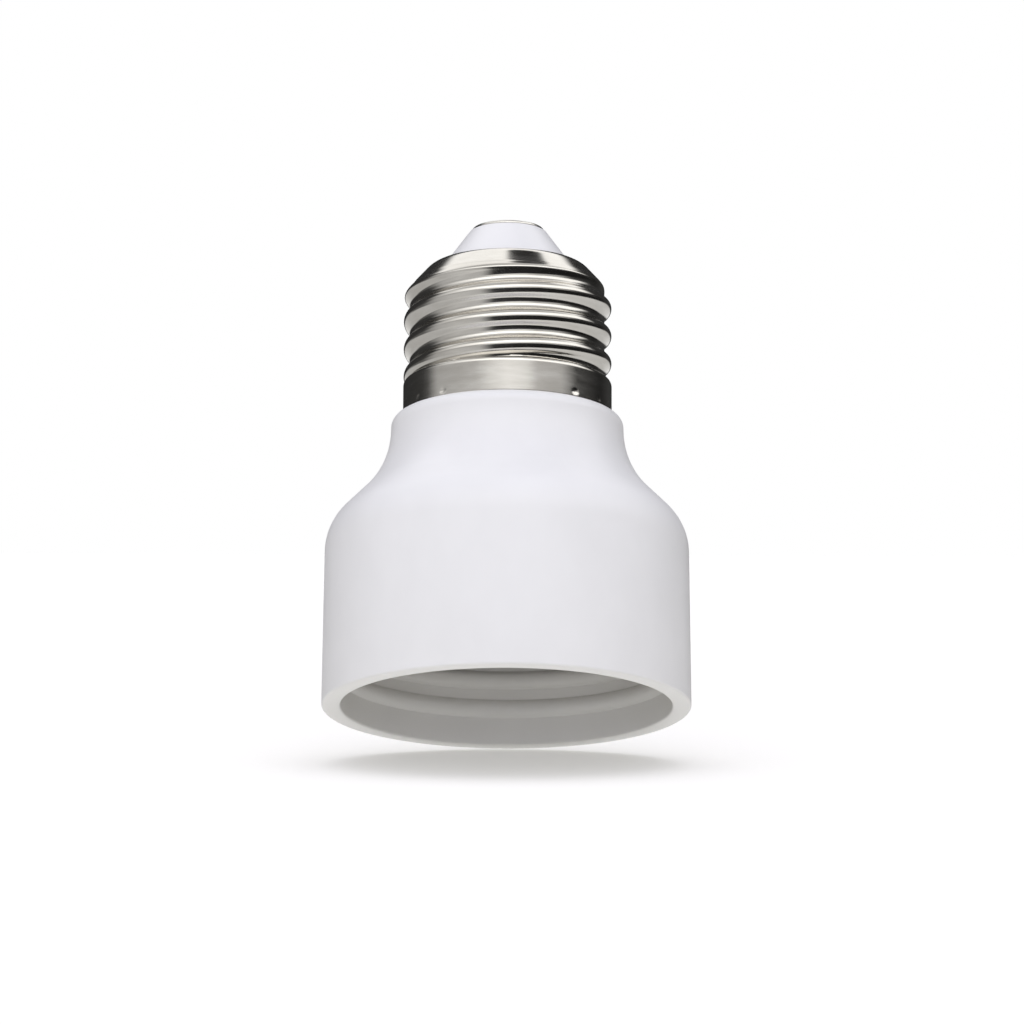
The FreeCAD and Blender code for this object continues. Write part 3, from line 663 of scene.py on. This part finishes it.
@dataclass
class Housing:
    """The moulded bell, its mouth and beads, its hollow spigot and its tip.

    All sizes are in millimetres: radii, and heights above the rim.

    Attributes:
        rim: Outer radius at the rim.
        lip: Rounding of the rim's outer edge.
        lip_edge: Rounding of its inner edge.
        wall: Outer radius under the shoulder.
        slope_foot: Height of the shoulder, where the slope starts.
        slope_head: Height where the slope ends in the neck.
        shoulder_round: Rounding of the shoulder.
        neck_round: Rounding between slope and neck.
        neck: Outer radius of the neck.
        head: Height of the neck's head, under the cap.
        head_round: Rounding of the neck's head.
        spigot: Outer radius of the spigot in the cap.
        spigot_head: Height where the spigot starts to close.
        seat: Radius and height where the spigot meets the cap's dome.
        tip_base: Radius of the tip in the hole of the cap.
        tip_foot: Radius and height where the tip's cone starts.
        tip_top: Radius and height of the tip's top.
        tip_round: Rounding of the tip's top.
        stem_hole: Radius of the hole for the tip contact's stem.
        clench: Radius and height of the cavity's top, where the stem is clenched.
        cavity: Radius of the cavity.
        cavity_head: Height where the cavity starts to close.
        cavity_foot: Height of the step under the cavity.
        throat: Outer radius of that step.
        bowl: Radius and height of the corner between the step and the bore.
        bowl_round: Rounding of that corner.
        bore: Radius of the mouth's bore.
        bore_head: Height where the bore ends.
        bore_foot: Height between the rim and the first bead.
        bead_rise: How far a bead stands out of the bore.
        bead_width: Height of a bead.
        beads: Heights of the beads' feet.
        bead_steps: Number of faces over a bead.
        around: Number of faces in a ring.
    """

    rim: float = 23.2
    lip: float = 0.3
    lip_edge: float = 0.25
    wall: float = 22.9
    slope_foot: float = 22.911
    slope_head: float = 31.111
    shoulder_round: float = 7.27
    neck_round: float = 11.78
    neck: float = 14.7
    head: float = 37.6
    head_round: float = 1.49
    spigot: float = 11.75
    spigot_head: float = 54.0
    seat: Point = (9.21, 56.7)
    tip_base: float = 8.8
    tip_foot: Point = (8.5, 57.0)
    tip_top: Point = (4.9, 61.95)
    tip_round: float = 0.2
    stem_hole: float = 1.6
    clench: Point = (2.8, 57.5)
    cavity: float = 7.0
    cavity_head: float = 52.5
    cavity_foot: float = 35.2
    throat: float = 12.623
    bowl: Point = (12.928, 29.913)
    bowl_round: float = 13.85
    bore: float = 20.8
    bore_head: float = 22.041
    bore_foot: float = 2.0
    bead_rise: float = 0.8
    bead_width: float = 2.4
    beads: tuple[float, ...] = (3.5, 7.25)
    bead_steps: int = 14
    around: int = 240

    def bead(self, foot: float) -> list[Corner]:
        """Corners of one bead, from its head down to its foot."""
        half = self.bead_width / 2
        radius = (half**2 + self.bead_rise**2) / (2 * self.bead_rise)
        middle, centre = foot + half, self.bore - self.bead_rise + radius
        corners = []
        for step in range(self.bead_steps + 1):
            up = (0.5 - step / self.bead_steps) * self.bead_width
            inward = math.sqrt(radius**2 - up**2)
            corners.append(Corner(centre - inward, middle + up))
        return corners

    def outline(self) -> list[Point]:
        """The whole section, out from the mouth's lip and back down its bore."""
        corners = [
            Corner(self.bore, self.bore_foot),
            Corner(self.bore, 0.0, self.lip_edge),
            Corner(self.rim, 0.0, self.lip),
            Corner(self.wall, self.slope_foot, self.shoulder_round),
            Corner(self.neck, self.slope_head, self.neck_round),
            Corner(self.neck, self.head, self.head_round),
            Corner(self.spigot, self.head),
            Corner(self.spigot, self.spigot_head),
            Corner(*self.seat),
            Corner(self.tip_base, self.seat[1]),
            Corner(*self.tip_foot),
            Corner(*self.tip_top, self.tip_round),
            Corner(self.stem_hole, self.tip_top[1]),
            Corner(self.stem_hole, self.clench[1]),
            Corner(*self.clench),
            Corner(self.cavity, self.cavity_head),
            Corner(self.cavity, self.cavity_foot),
            Corner(self.throat, self.cavity_foot),
            Corner(*self.bowl, self.bowl_round),
            Corner(self.bore, self.bore_head),
        ]
        points = rounded(corners)
        for foot in reversed(self.beads):
            points += [(c.r, c.z) for c in self.bead(foot)]
        return points

    def build(self) -> Any:
        """Turn the housing, hide the CAD node that it replaces, and set it on the
        adapter's body.
        """
        material = MOULDED_PBT.material()
        piece = turned("moulded_housing", self.outline(), self.around, material)
        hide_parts("housing")
        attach(piece, Body.ADAPTER.value)
        return piece


@dataclass
class RolledShell:
    """A shell of sheet metal with a rolled thread.

    All sizes are in millimetres and all angles in degrees.

    Attributes:
        name: Name of the piece.
        node: CAD node that it stands for.
        outline: The seen side of the sheet.
        root: Radius at the thread's foot, from which it stands out or in.
        depth: Height of the thread.
        pitch: Rise of the thread in a turn.
        first_crest: Height of a crest at angle 0.
        start: Height where the thread starts, and the length of its run-in.
        end: Height where the thread ends, and the length of its run-out.
        side: 1 where the thread stands outwards, -1 where it stands inwards.
        sheet: Thickness of the sheet.
        around: Number of faces in a ring.
        along: Number of points along the outline.
        blend: Rounding where the thread meets the plain sheet.
        dents: Number of punch marks, which stand in pairs.
        dent_depth: Depth of a punch mark.
        dent_height: Height of the punch marks.
        dent_reach: Radius of a punch mark.
        dent_pair: Angle from the middle of a pair to each of its marks.
        dent_spacing: Angle between two pairs.
        dent_turn: Angle of the first pair.
    """

    name: str
    node: str
    outline: tuple[Corner, ...]
    root: float
    depth: float
    pitch: float
    first_crest: float
    start: Point
    end: Point
    side: float
    sheet: float
    around: int
    along: int
    blend: float = 0.12
    dents: int = 0
    dent_depth: float = 0.0
    dent_height: float = 0.0
    dent_reach: float = 1.0
    dent_pair: float = 0.0
    dent_spacing: float = 0.0
    dent_turn: float = 0.0

    def arc_radius(self) -> float:
        """Radius of the thread's arcs, which meet on the flank."""
        flank = 2 * math.atan(2 * self.depth / self.pitch)
        return self.pitch / 4 / math.sin(flank)

    def build(self, tree: ShapeTree, material: Any) -> Any:
        """Roll the shell, give it its sheet, hide the CAD node that it replaces, and
        set it on the adapter's body.

        Args:
            tree: The rolled-shell tree.
            material: The shell's finish.

        Returns:
            The shell.
        """
        values = {
            "Root radius": self.root * MM,
            "Depth": self.depth * MM,
            "Pitch": self.pitch * MM,
            "Arc radius": self.arc_radius() * MM,
            "First crest": self.first_crest * MM,
            "Start": self.start[0] * MM,
            "Start fade": self.start[1] * MM,
            "End": self.end[0] * MM,
            "End fade": self.end[1] * MM,
            "Side": self.side,
            "Blend": self.blend * MM,
            "Dent depth": self.dent_depth * MM,
            "Dent height": self.dent_height * MM,
            "Dent reach": self.dent_reach * MM,
            "Dent pair": math.radians(self.dent_pair),
            "Dent spacing": math.radians(self.dent_spacing),
            "Dent turn": math.radians(self.dent_turn),
            "Around": self.around,
            "Along": self.along,
            "Dents": self.dents,
            "Material": material,
        }
        mesh = tree.run(self.name, values, rounded(self.outline))
        if self.side < 0:
            mesh.flip_normals()
        piece = finished(mesh, self.name, material)
        thicken = piece.modifiers.new("sheet", "SOLIDIFY")
        thicken.thickness = self.sheet * MM
        thicken.offset = -1.0
        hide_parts(self.node)
        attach(piece, Body.ADAPTER.value)
        return piece


E27_SHELL = RolledShell(
    name="rolled_screw_cap",
    node="e27_screw_shell",
    outline=(
        Corner(13.2, 37.62),
        Corner(13.2, 42.0, 0.55),
        Corner(12.25, 42.35, 0.2),
        Corner(12.25, 54.6, 1.2),
        Corner(9.774, 57.35, 2.2),
        Corner(8.85, 57.35),
    ),
    root=12.25,
    depth=0.92,
    pitch=3.629,
    first_crest=41.05,
    start=(40.9, 0.6),
    end=(54.9, 1.7),
    side=1.0,
    sheet=0.3,
    around=300,
    along=150,
    dents=6,
    dent_depth=0.12,
    dent_height=38.35,
    dent_reach=0.56,
    dent_pair=10.2,
    dent_spacing=98.5,
    dent_turn=222.0,
)

E40_SHELL = RolledShell(
    name="rolled_mogul_shell",
    node="e40_screw_shell",
    outline=(
        Corner(19.9, 10.02),
        Corner(19.9, 21.67, 0.8),
        Corner(12.21, 29.358, 13.5),
        Corner(11.753, 34.77, 0.3),
        Corner(7.05, 34.77),
    ),
    root=19.9,
    depth=1.8,
    pitch=6.35,
    first_crest=9.25,
    start=(9.0, 1.5),
    end=(23.0, 3.0),
    side=-1.0,
    sheet=0.4,
    around=220,
    along=110,
)


@dataclass
class TipContact:
    """The cap's flat tip contact, its stem and its clench.

    All sizes are in millimetres.

    Attributes:
        radius: Radius of the head.
        foot: Height of the head's underside.
        head: Height of the head's top.
        head_flare: How much narrower the head is at its underside.
        head_round: Rounding of the head's upper edge.
        flat_margin: Distance from the head's side to a ring on its flat top.
        stem: Radius of the stem.
        clench: Radius of the clench at the stem's foot.
        clench_foot: Height of its underside.
        clench_head: Height of its upper side.
        clench_round: Rounding of its edges.
        around: Number of faces in a ring.
    """

    radius: float = 4.65
    foot: float = 61.95
    head: float = 62.45
    head_flare: float = 0.05
    head_round: float = 0.34
    flat_margin: float = 1.2
    stem: float = 1.5
    clench: float = 2.4
    clench_foot: float = 57.05
    clench_head: float = 57.5
    clench_round: float = 0.1
    around: int = 160

    def build(self) -> Any:
        """Turn the contact, hide the CAD node that it replaces, and set it on the
        adapter's body.
        """
        corners = [
            Corner(0.0, self.clench_foot),
            Corner(self.clench, self.clench_foot, self.clench_round),
            Corner(self.clench, self.clench_head, self.clench_round),
            Corner(self.stem, self.clench_head),
            Corner(self.stem, self.foot),
            Corner(self.radius - self.head_flare, self.foot, self.head_flare),
            Corner(self.radius, self.head, self.head_round),
            Corner(self.radius - self.flat_margin, self.head),
            Corner(0.0, self.head),
        ]
        outline = rounded(corners, FINE_STEP_MM)
        material = TURNED_NICKEL.material()
        piece = turned("cap_tip_contact", outline, self.around, material)
        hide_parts("tip_contact")
        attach(piece, Body.ADAPTER.value)
        return piece


@dataclass
class SprungContact:
    """The socket's sprung button and its spring.

    All sizes are in millimetres.

    Attributes:
        tip: Height of the button's lowest point.
        seat: Height where its shoulder rests on the guide's lip.
        back: Height of the shoulder's upper side, where the spring stands.
        top: Height of the terminal's underside, where the spring ends.
        travel: How far the button slides up.
        shank: Radius of the button's shank.
        dome_rise: How far the shank's end bulges.
        dome_steps: Number of rings on that bulge.
        shoulder: Radius of the shoulder.
        edge: Rounding of the shoulder's edges.
        spigot: Radius of the spigot that stands in the spring.
        spigot_rise: Height of the spigot.
        spigot_round: Rounding of its upper edge.
        wire: Radius of the spring's wire.
        coil: Radius of the spring to the middle of its wire.
        turns: Number of the spring's turns.
        steps_per_turn: Number of faces along a turn.
        play: Gap at each end of the spring.
        around: Number of faces in a ring.
    """

    tip: float = 30.3
    seat: float = 32.45
    back: float = 33.45
    top: float = 39.4
    # travel: How far the button slides up; not used.
    travel: float = 1.6
    shank: float = 3.05
    dome_rise: float = 0.9
    dome_steps: int = 10
    shoulder: float = 3.7
    edge: float = 0.12
    spigot: float = 2.2
    spigot_rise: float = 1.15
    spigot_round: float = 0.25
    wire: float = 0.225
    coil: float = 2.95
    turns: float = 5.0
    steps_per_turn: int = 48
    play: float = 0.01
    around: int = 96

    def build_button(self) -> Any:
        """Turn the button, which slides up when a lamp is screwed in."""
        rise = self.dome_rise
        radius = (self.shank**2 + rise**2) / (2 * rise)
        dome = []
        for step in range(self.dome_steps + 1):
            r = self.shank * step / self.dome_steps
            dome.append((r, self.tip + radius - math.sqrt(radius**2 - r**2)))
        spigot_head = self.back + self.spigot_rise
        corners = [
            Corner(self.shank, self.tip + rise),
            Corner(self.shank, self.seat),
            Corner(self.shoulder, self.seat, self.edge),
            Corner(self.shoulder, self.back, self.edge),
            Corner(self.spigot, self.back),
            Corner(self.spigot, spigot_head, self.spigot_round),
            Corner(0.0, spigot_head),
        ]
        outline = dome + rounded(corners, FINE_STEP_MM)[1:]
        piece = turned("sprung_button", outline, self.around, BRASS.material())
        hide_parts("contact_button")
        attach(piece, Body.BUTTON.value)
        return piece

    def build_spring(self, tree: ShapeTree) -> Any:
        """Coil the spring between the button's shoulder and the terminal; the real one
        is squeezed as the button rises, but this coil keeps its length.

        Args:
            tree: The coil-spring tree.

        Returns:
            The spring.
        """
        material = ZINC_STEEL.material()
        length = self.top - self.back
        values = {
            "Coil radius": self.coil * MM,
            "Wire radius": self.wire * MM,
            "Foot": (self.back + self.wire + self.play) * MM,
            "Height": (length - 2 * (self.wire + self.play)) * MM,
            "Turns": self.turns,
            "Steps": self.steps_per_turn,
            "Material": material,
        }
        piece = finished(tree.run("coil_spring", values), "coil_spring", material)
        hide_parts("contact_spring")
        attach(piece, Body.ADAPTER.value)
        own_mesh(piece)
        return piece


CAD_FINISHES = {
    "contact_carrier": STEATITE,
    "carrier_screws": ZINC_STEEL,
    "contact_guide": BRASS,
    "live_terminal": BRASS,
    "live_lead": SILICONE,
    "neutral_strap": BRASS,
}


def dress_cad_nodes(nodes: dict[str, Any]) -> None:
    """Give the nodes that stay as the CAD made them their finishes.

    Args:
        nodes: The frame's nodes by name.
    """
    for node, finish in CAD_FINISHES.items():
        material = finish.material()
        if not nodes[node].material_slots:
            nodes[node].data.materials.append(material)
        for slot in nodes[node].material_slots:
            slot.material = material
        log.info("dressed %s as %s", node, finish.name)


def compass_stops(*stops: Point) -> tuple[Point, ...]:
    """Turn compass angles from the front, in degrees, into places from 0 to 1."""
    return tuple((angle / 360 + 0.5, level) for angle, level in stops)


@dataclass
class Studio:
    """The pale floor, the soft surroundings and the camera.

    Directions have x to the right, y away from the camera and z up. A level of 1 is
    white. An edge is a pair of places: where a zone starts, and where it is full.

    Attributes:
        elevation: The camera's height angle in degrees, below the rim's plane.
        distance: The camera's distance from the object's middle, in metres.
        roll: The camera's roll, in degrees.
        pixels_per_mm: Scale of the frame.
        frame_pixels: Width of the frame.
        sensor_mm: Width of the camera's sensor.
        axis_px: Column of the object's axis in the frame.
        middle_px: How far the frame's middle is above the rim's middle, in pixels.
        floor_tilt: The floor's slope in degrees, which lets a low camera see it.
        floor_paint: The floor's colour, sRGB hex.
        floor_glow: Light that the floor adds for the camera, which makes it white.
        floor_bounce: Light that the floor adds for the object.
        floor_reach: Half the floor's width, in metres.
        floor_touch: Place on the far side of the rim that the floor passes, in mm.
        light_level: Level of the soft light from all sides.
        light_pull: Direction from which more of it comes.
        light_tint: Its tint.
        front_light: Direction of a soft lamp in front, with its edge and level.
        top_light: Direction of a soft lamp above, with its edge and level.
        pit_level: Level straight below.
        ground_bands: Compass angles and levels of the lowest zone round the metal.
        apron_bands: The same above the ground, up to the horizon.
        wall_bands: The same above the horizon.
        window_bands: The same above the walls.
        ceiling_bands: The same above the windows.
        apron_tilt: How much lower the apron reaches in front than behind.
        hatch: Direction of a dark hatch in the ceiling, with its edge and level.
    """

    elevation: float = -14.73
    distance: float = 1.0
    roll: float = 0.19
    pixels_per_mm: float = 7.98
    frame_pixels: float = 1024.0
    sensor_mm: float = 36.0
    axis_px: float = 507.0
    middle_px: float = 195.3
    floor_tilt: float = 18.0
    floor_paint: str = "DAD8D0"
    floor_glow: float = 0.355
    floor_bounce: float = 0.17
    floor_reach: float = 0.4
    floor_touch: tuple[float, float, float] = (0.0, 23.2, -0.05)
    light_level: float = 0.345
    light_pull: tuple[float, float, float] = (-0.06, -0.3, 0.52)
    light_tint: tuple[float, float, float] = (0.97, 0.975, 1.095)
    front_light: tuple[float, float, float] = (-0.05, -0.99, -0.08)
    front_edge: Point = (0.9, 0.97)
    front_level: float = 2.05
    top_light: tuple[float, float, float] = (0.0, -0.3, 0.95)
    top_edge: Point = (0.78, 0.94)
    top_level: float = 1.75
    pit_level: float = 0.4
    ground_bands: tuple[Point, ...] = compass_stops(
        (-180, 1.3), (-160, 0.8), (-145, 0.55), (-100, 0.58), (-50, 0.8), (-10, 1.1),
        (25, 1.1), (60, 0.9), (110, 0.75), (145, 0.65), (160, 0.8), (180, 1.3),
    )
    apron_bands: tuple[Point, ...] = compass_stops(
        (-180, 1.6), (-158, 0.9), (-125, 0.12), (-104, 0.12), (-84, 0.5), (-60, 0.68),
        (-30, 0.6), (-15, 0.02), (130, 0.01), (160, 0.9), (180, 1.6),
    )
    wall_bands: tuple[Point, ...] = compass_stops(
        (-180, 0.02), (-108, 0.05), (-98, 0.1), (-84, 0.5), (-34, 0.62), (-18, 0.92),
        (0, 1.12), (22, 0.98), (34, 0.62), (62, 0.54), (82, 0.06), (125, 0.02),
        (150, 0.05), (180, 0.02),
    )
    window_bands: tuple[Point, ...] = compass_stops(
        (-180, 0.03), (-108, 0.04), (-92, 0.5), (-60, 1.2), (-30, 1.8), (5, 2.0),
        (60, 1.7), (98, 1.5), (116, 0.04), (180, 0.03),
    )
    ceiling_bands: tuple[Point, ...] = compass_stops(
        (-180, 1.4), (-125, 1.3), (-85, 0.62), (85, 0.62), (125, 1.4), (180, 1.4),
    )
    pit_edge: Point = (0.88, 0.95)
    apron_edge: Point = (-0.47, -0.38)
    apron_tilt: float = -0.67
    wall_edge: Point = (0.05, 0.16)
    window_edge: Point = (0.31, 0.4)
    ceiling_edge: Point = (0.69, 0.79)
    hatch: tuple[float, float, float] = (0.17, 0.2, 0.965)
    hatch_edge: Point = (0.98, 0.99)
    hatch_level: float = 0.03

    def add_camera(self) -> None:
        """Place a long lens in front, looking up at the mouth."""
        data = bpy.data.cameras.new("camera")
        camera = bpy.data.objects.new("camera", data)
        bpy.context.scene.collection.objects.link(camera)
        up = math.radians(self.elevation)
        back = Vector((0, -math.cos(up), math.sin(up)))
        rise = Vector((0, math.sin(up), math.cos(up)))
        pixel = MM / self.pixels_per_mm
        centre = rise * (self.middle_px * pixel)
        side = Vector(((self.frame_pixels / 2 - self.axis_px) * pixel, 0, 0))
        tip = Matrix.Rotation(math.pi / 2 - up, 4, "X")
        view = tip @ Matrix.Rotation(math.radians(self.roll), 4, "Z")
        spot = centre + side + back * self.distance
        camera.matrix_world = Matrix.Translation(spot) @ view
        data.sensor_width = self.sensor_mm
        data.lens = self.sensor_mm * self.distance / (self.frame_pixels * pixel)
        data.clip_start = self.distance / 20
        data.clip_end = self.distance * 50
        bpy.context.scene.camera = camera

    def add_floor(self) -> None:
        """Lay the floor against the rim's far edge, seen only from its upper side."""
        material = bpy.data.materials.new("studio_floor")
        material.use_nodes = True
        tree = material.node_tree
        tree.nodes.clear()
        colour = linear(self.floor_paint)
        paint = add_node(tree, "ShaderNodeBsdfDiffuse", {"Color": colour}).outputs[0]
        path = add_node(tree, "ShaderNodeLightPath").outputs["Is Camera Ray"]
        level = add_node(
            tree,
            "ShaderNodeMapRange",
            {"Value": path, "To Min": self.floor_bounce, "To Max": self.floor_glow},
        )
        strength = level.outputs[0]
        glow = add_node(tree, "ShaderNodeEmission", {"Strength": strength}).outputs[0]
        lit = add_node(tree, "ShaderNodeAddShader", {0: paint, 1: glow}).outputs[0]
        clear = add_node(tree, "ShaderNodeBsdfTransparent").outputs[0]
        facing = add_node(tree, "ShaderNodeNewGeometry").outputs["Backfacing"]
        shown = add_node(tree, "ShaderNodeMixShader", {0: facing, 1: lit, 2: clear})
        add_node(tree, "ShaderNodeOutputMaterial", {"Surface": shown.outputs[0]})
        mesh = bpy.data.meshes.new("studio_floor")
        tilt = math.radians(self.floor_tilt)
        along = Vector((0, math.cos(tilt), math.sin(tilt))) * self.floor_reach
        across = Vector((self.floor_reach, 0, 0))
        touch = Vector(self.floor_touch) * MM
        corners = [
            touch - along - across,
            touch - along + across,
            touch + along + across,
            touch + along - across,
        ]
        mesh.from_pydata(corners, [], [(0, 1, 2, 3)])
        mesh.materials.append(material)
        floor = bpy.data.objects.new("studio_floor", mesh)
        bpy.context.scene.collection.objects.link(floor)
        floor.visible_glossy = False

    def add_surroundings(self) -> None:
        """Light the object from a soft, pale room, which the metal mirrors in bands."""
        world = bpy.data.worlds.new("studio")
        bpy.context.scene.world = world
        world.use_nodes = True
        tree = world.node_tree
        tree.nodes.clear()
        path = add_node(tree, "ShaderNodeLightPath")
        soft, mirrored = self.add_soft_light(tree), self.add_mirrored_room(tree)
        room = add_node(tree, "ShaderNodeBackground", {"Color": soft})
        bands = add_node(tree, "ShaderNodeBackground", {"Color": mirrored})
        white = add_node(tree, "ShaderNodeBackground", {"Color": (1, 1, 1, 1)})
        lit = add_node(
            tree,
            "ShaderNodeMixShader",
            {0: path.outputs["Is Glossy Ray"], 1: room.outputs[0], 2: bands.outputs[0]},
        )
        seen = add_node(
            tree,
            "ShaderNodeMixShader",
            {0: path.outputs["Is Camera Ray"], 1: lit.outputs[0], 2: white.outputs[0]},
        )
        add_node(tree, "ShaderNodeOutputWorld", {"Surface": seen.outputs[0]})

    def add_soft_light(self, tree: Any) -> Any:
        """Add the light that falls on the object: most from the front and from above.

        Args:
            tree: The world's node tree.

        Returns:
            The light's level as a socket.
        """
        way = add_node(tree, "ShaderNodeTexCoord").outputs["Generated"]
        aim = add_node(
            tree,
            "ShaderNodeVectorMath",
            {0: way, 1: self.light_pull},
            operation="DOT_PRODUCT",
        )
        soft = self.add_maths(tree, "ADD", aim.outputs["Value"], self.light_level)
        top = (self.top_light, self.top_edge, self.top_level)
        front = (self.front_light, self.front_edge, self.front_level)
        level = self.add_spot(tree, way, front, self.add_spot(tree, way, top, soft))
        tinted = add_node(
            tree,
            "ShaderNodeVectorMath",
            {0: self.light_tint, 3: level},
            operation="SCALE",
        )
        return tinted.outputs[0]

    def add_mirrored_room(self, tree: Any) -> Any:
        """Add the room that polished metal mirrors, by compass angle and by height.

        Args:
            tree: The world's node tree.

        Returns:
            The room's level as a socket.
        """
        way = add_node(tree, "ShaderNodeTexCoord").outputs["Generated"]
        parts = add_node(tree, "ShaderNodeSeparateXYZ", {0: way})
        across, depth, height = parts.outputs
        ahead = self.add_maths(tree, "MULTIPLY", depth, -1.0)
        compass = self.add_maths(tree, "ARCTAN2", across, ahead)
        turn = add_node(
            tree,
            "ShaderNodeMapRange",
            {"Value": compass, "From Min": -math.pi, "From Max": math.pi},
        ).outputs[0]
        tilted = self.add_maths(tree, "MULTIPLY_ADD", depth, self.apron_tilt, height)
        down = self.add_maths(tree, "MULTIPLY", height, -1.0)
        room = self.add_ramp(tree, turn, self.ground_bands)
        layers = (
            (tilted, self.apron_edge, self.add_ramp(tree, turn, self.apron_bands)),
            (down, self.pit_edge, self.pit_level),
            (height, self.wall_edge, self.add_ramp(tree, turn, self.wall_bands)),
            (height, self.window_edge, self.add_ramp(tree, turn, self.window_bands)),
            (height, self.ceiling_edge, self.add_ramp(tree, turn, self.ceiling_bands)),
        )
        for place, edge, level in layers:
            room = self.add_layer(tree, place, edge, room, level)
        hatch = (self.hatch, self.hatch_edge, self.hatch_level)
        return self.add_spot(tree, way, hatch, room)

    def add_maths(self, tree: Any, operation: str, *values: Any) -> Any:
        """Add one step of arithmetic and return its result socket."""
        inputs = dict(enumerate(values))
        return add_node(tree, "ShaderNodeMath", inputs, operation=operation).outputs[0]

    def add_spot(self, tree: Any, way: Any, spot: tuple, around: Any) -> Any:
        """Add a round, soft-edged spot to the surroundings.

        Args:
            tree: The world's node tree.
            way: Socket with the direction.
            spot: Direction of the spot's middle, cosines where it starts and where it
                is full, and its level.
            around: Level outside the spot.

        Returns:
            The level as a socket.
        """
        aim, edge, level = spot
        near = add_node(
            tree,
            "ShaderNodeVectorMath",
            {0: way, 1: Vector(aim).normalized()},
            operation="DOT_PRODUCT",
        )
        return self.add_layer(tree, near.outputs["Value"], edge, around, level)

    def add_layer(
        self, tree: Any, place: Any, edge: Point, below: Any, above: Any
    ) -> Any:
        """Add one zone of the room over another, with a soft edge.

        Args:
            tree: The world's node tree.
            place: Socket that says how far a direction is across the edge.
            edge: Where the change starts and ends.
            below: Level before the edge.
            above: Level after the edge.

        Returns:
            The level as a socket.
        """
        share = add_node(
            tree,
            "ShaderNodeMapRange",
            {"Value": place, "From Min": edge[0], "From Max": edge[1]},
            interpolation_type="SMOOTHSTEP",
        ).outputs[0]
        mixed = add_node(tree, "ShaderNodeMix", {0: share, 2: below, 3: above})
        return mixed.outputs[0]

    def add_ramp(self, tree: Any, place: Any, stops: Sequence[Point]) -> Any:
        """Add a smooth run of levels.

        Args:
            tree: The world's node tree.
            place: Socket with the place on the run, from 0 to 1.
            stops: Place and level of each stop.

        Returns:
            The level as a socket.
        """
        ramp = add_node(tree, "ShaderNodeValToRGB", {0: place})
        elements = ramp.color_ramp.elements
        for spot, _ in stops[2:]:
            elements.new(spot)
        for element, (spot, level) in zip(elements, stops):
            element.position = spot
            element.color = (level, level, level, 1)
        return ramp.outputs[0]


def main() -> None:
    """Build every piece in order, then the studio."""
    bpy.context.scene.view_settings.view_transform = "Standard"
    log.info("built %s", Housing().build().name)
    rolled = rolled_shell_tree()
    for shell in (E27_SHELL, E40_SHELL):
        log.info("built %s", shell.build(rolled, NICKEL_PLATE.material()).name)
    log.info("built %s", TipContact().build().name)
    contact = SprungContact()
    log.info("built %s", contact.build_button().name)
    log.info("built %s", contact.build_spring(spring_tree()).name)
    dress_cad_nodes(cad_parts)
    studio = Studio()
    studio.add_floor()
    studio.add_surroundings()
    studio.add_camera()


if __name__ == "__main__":
    main()
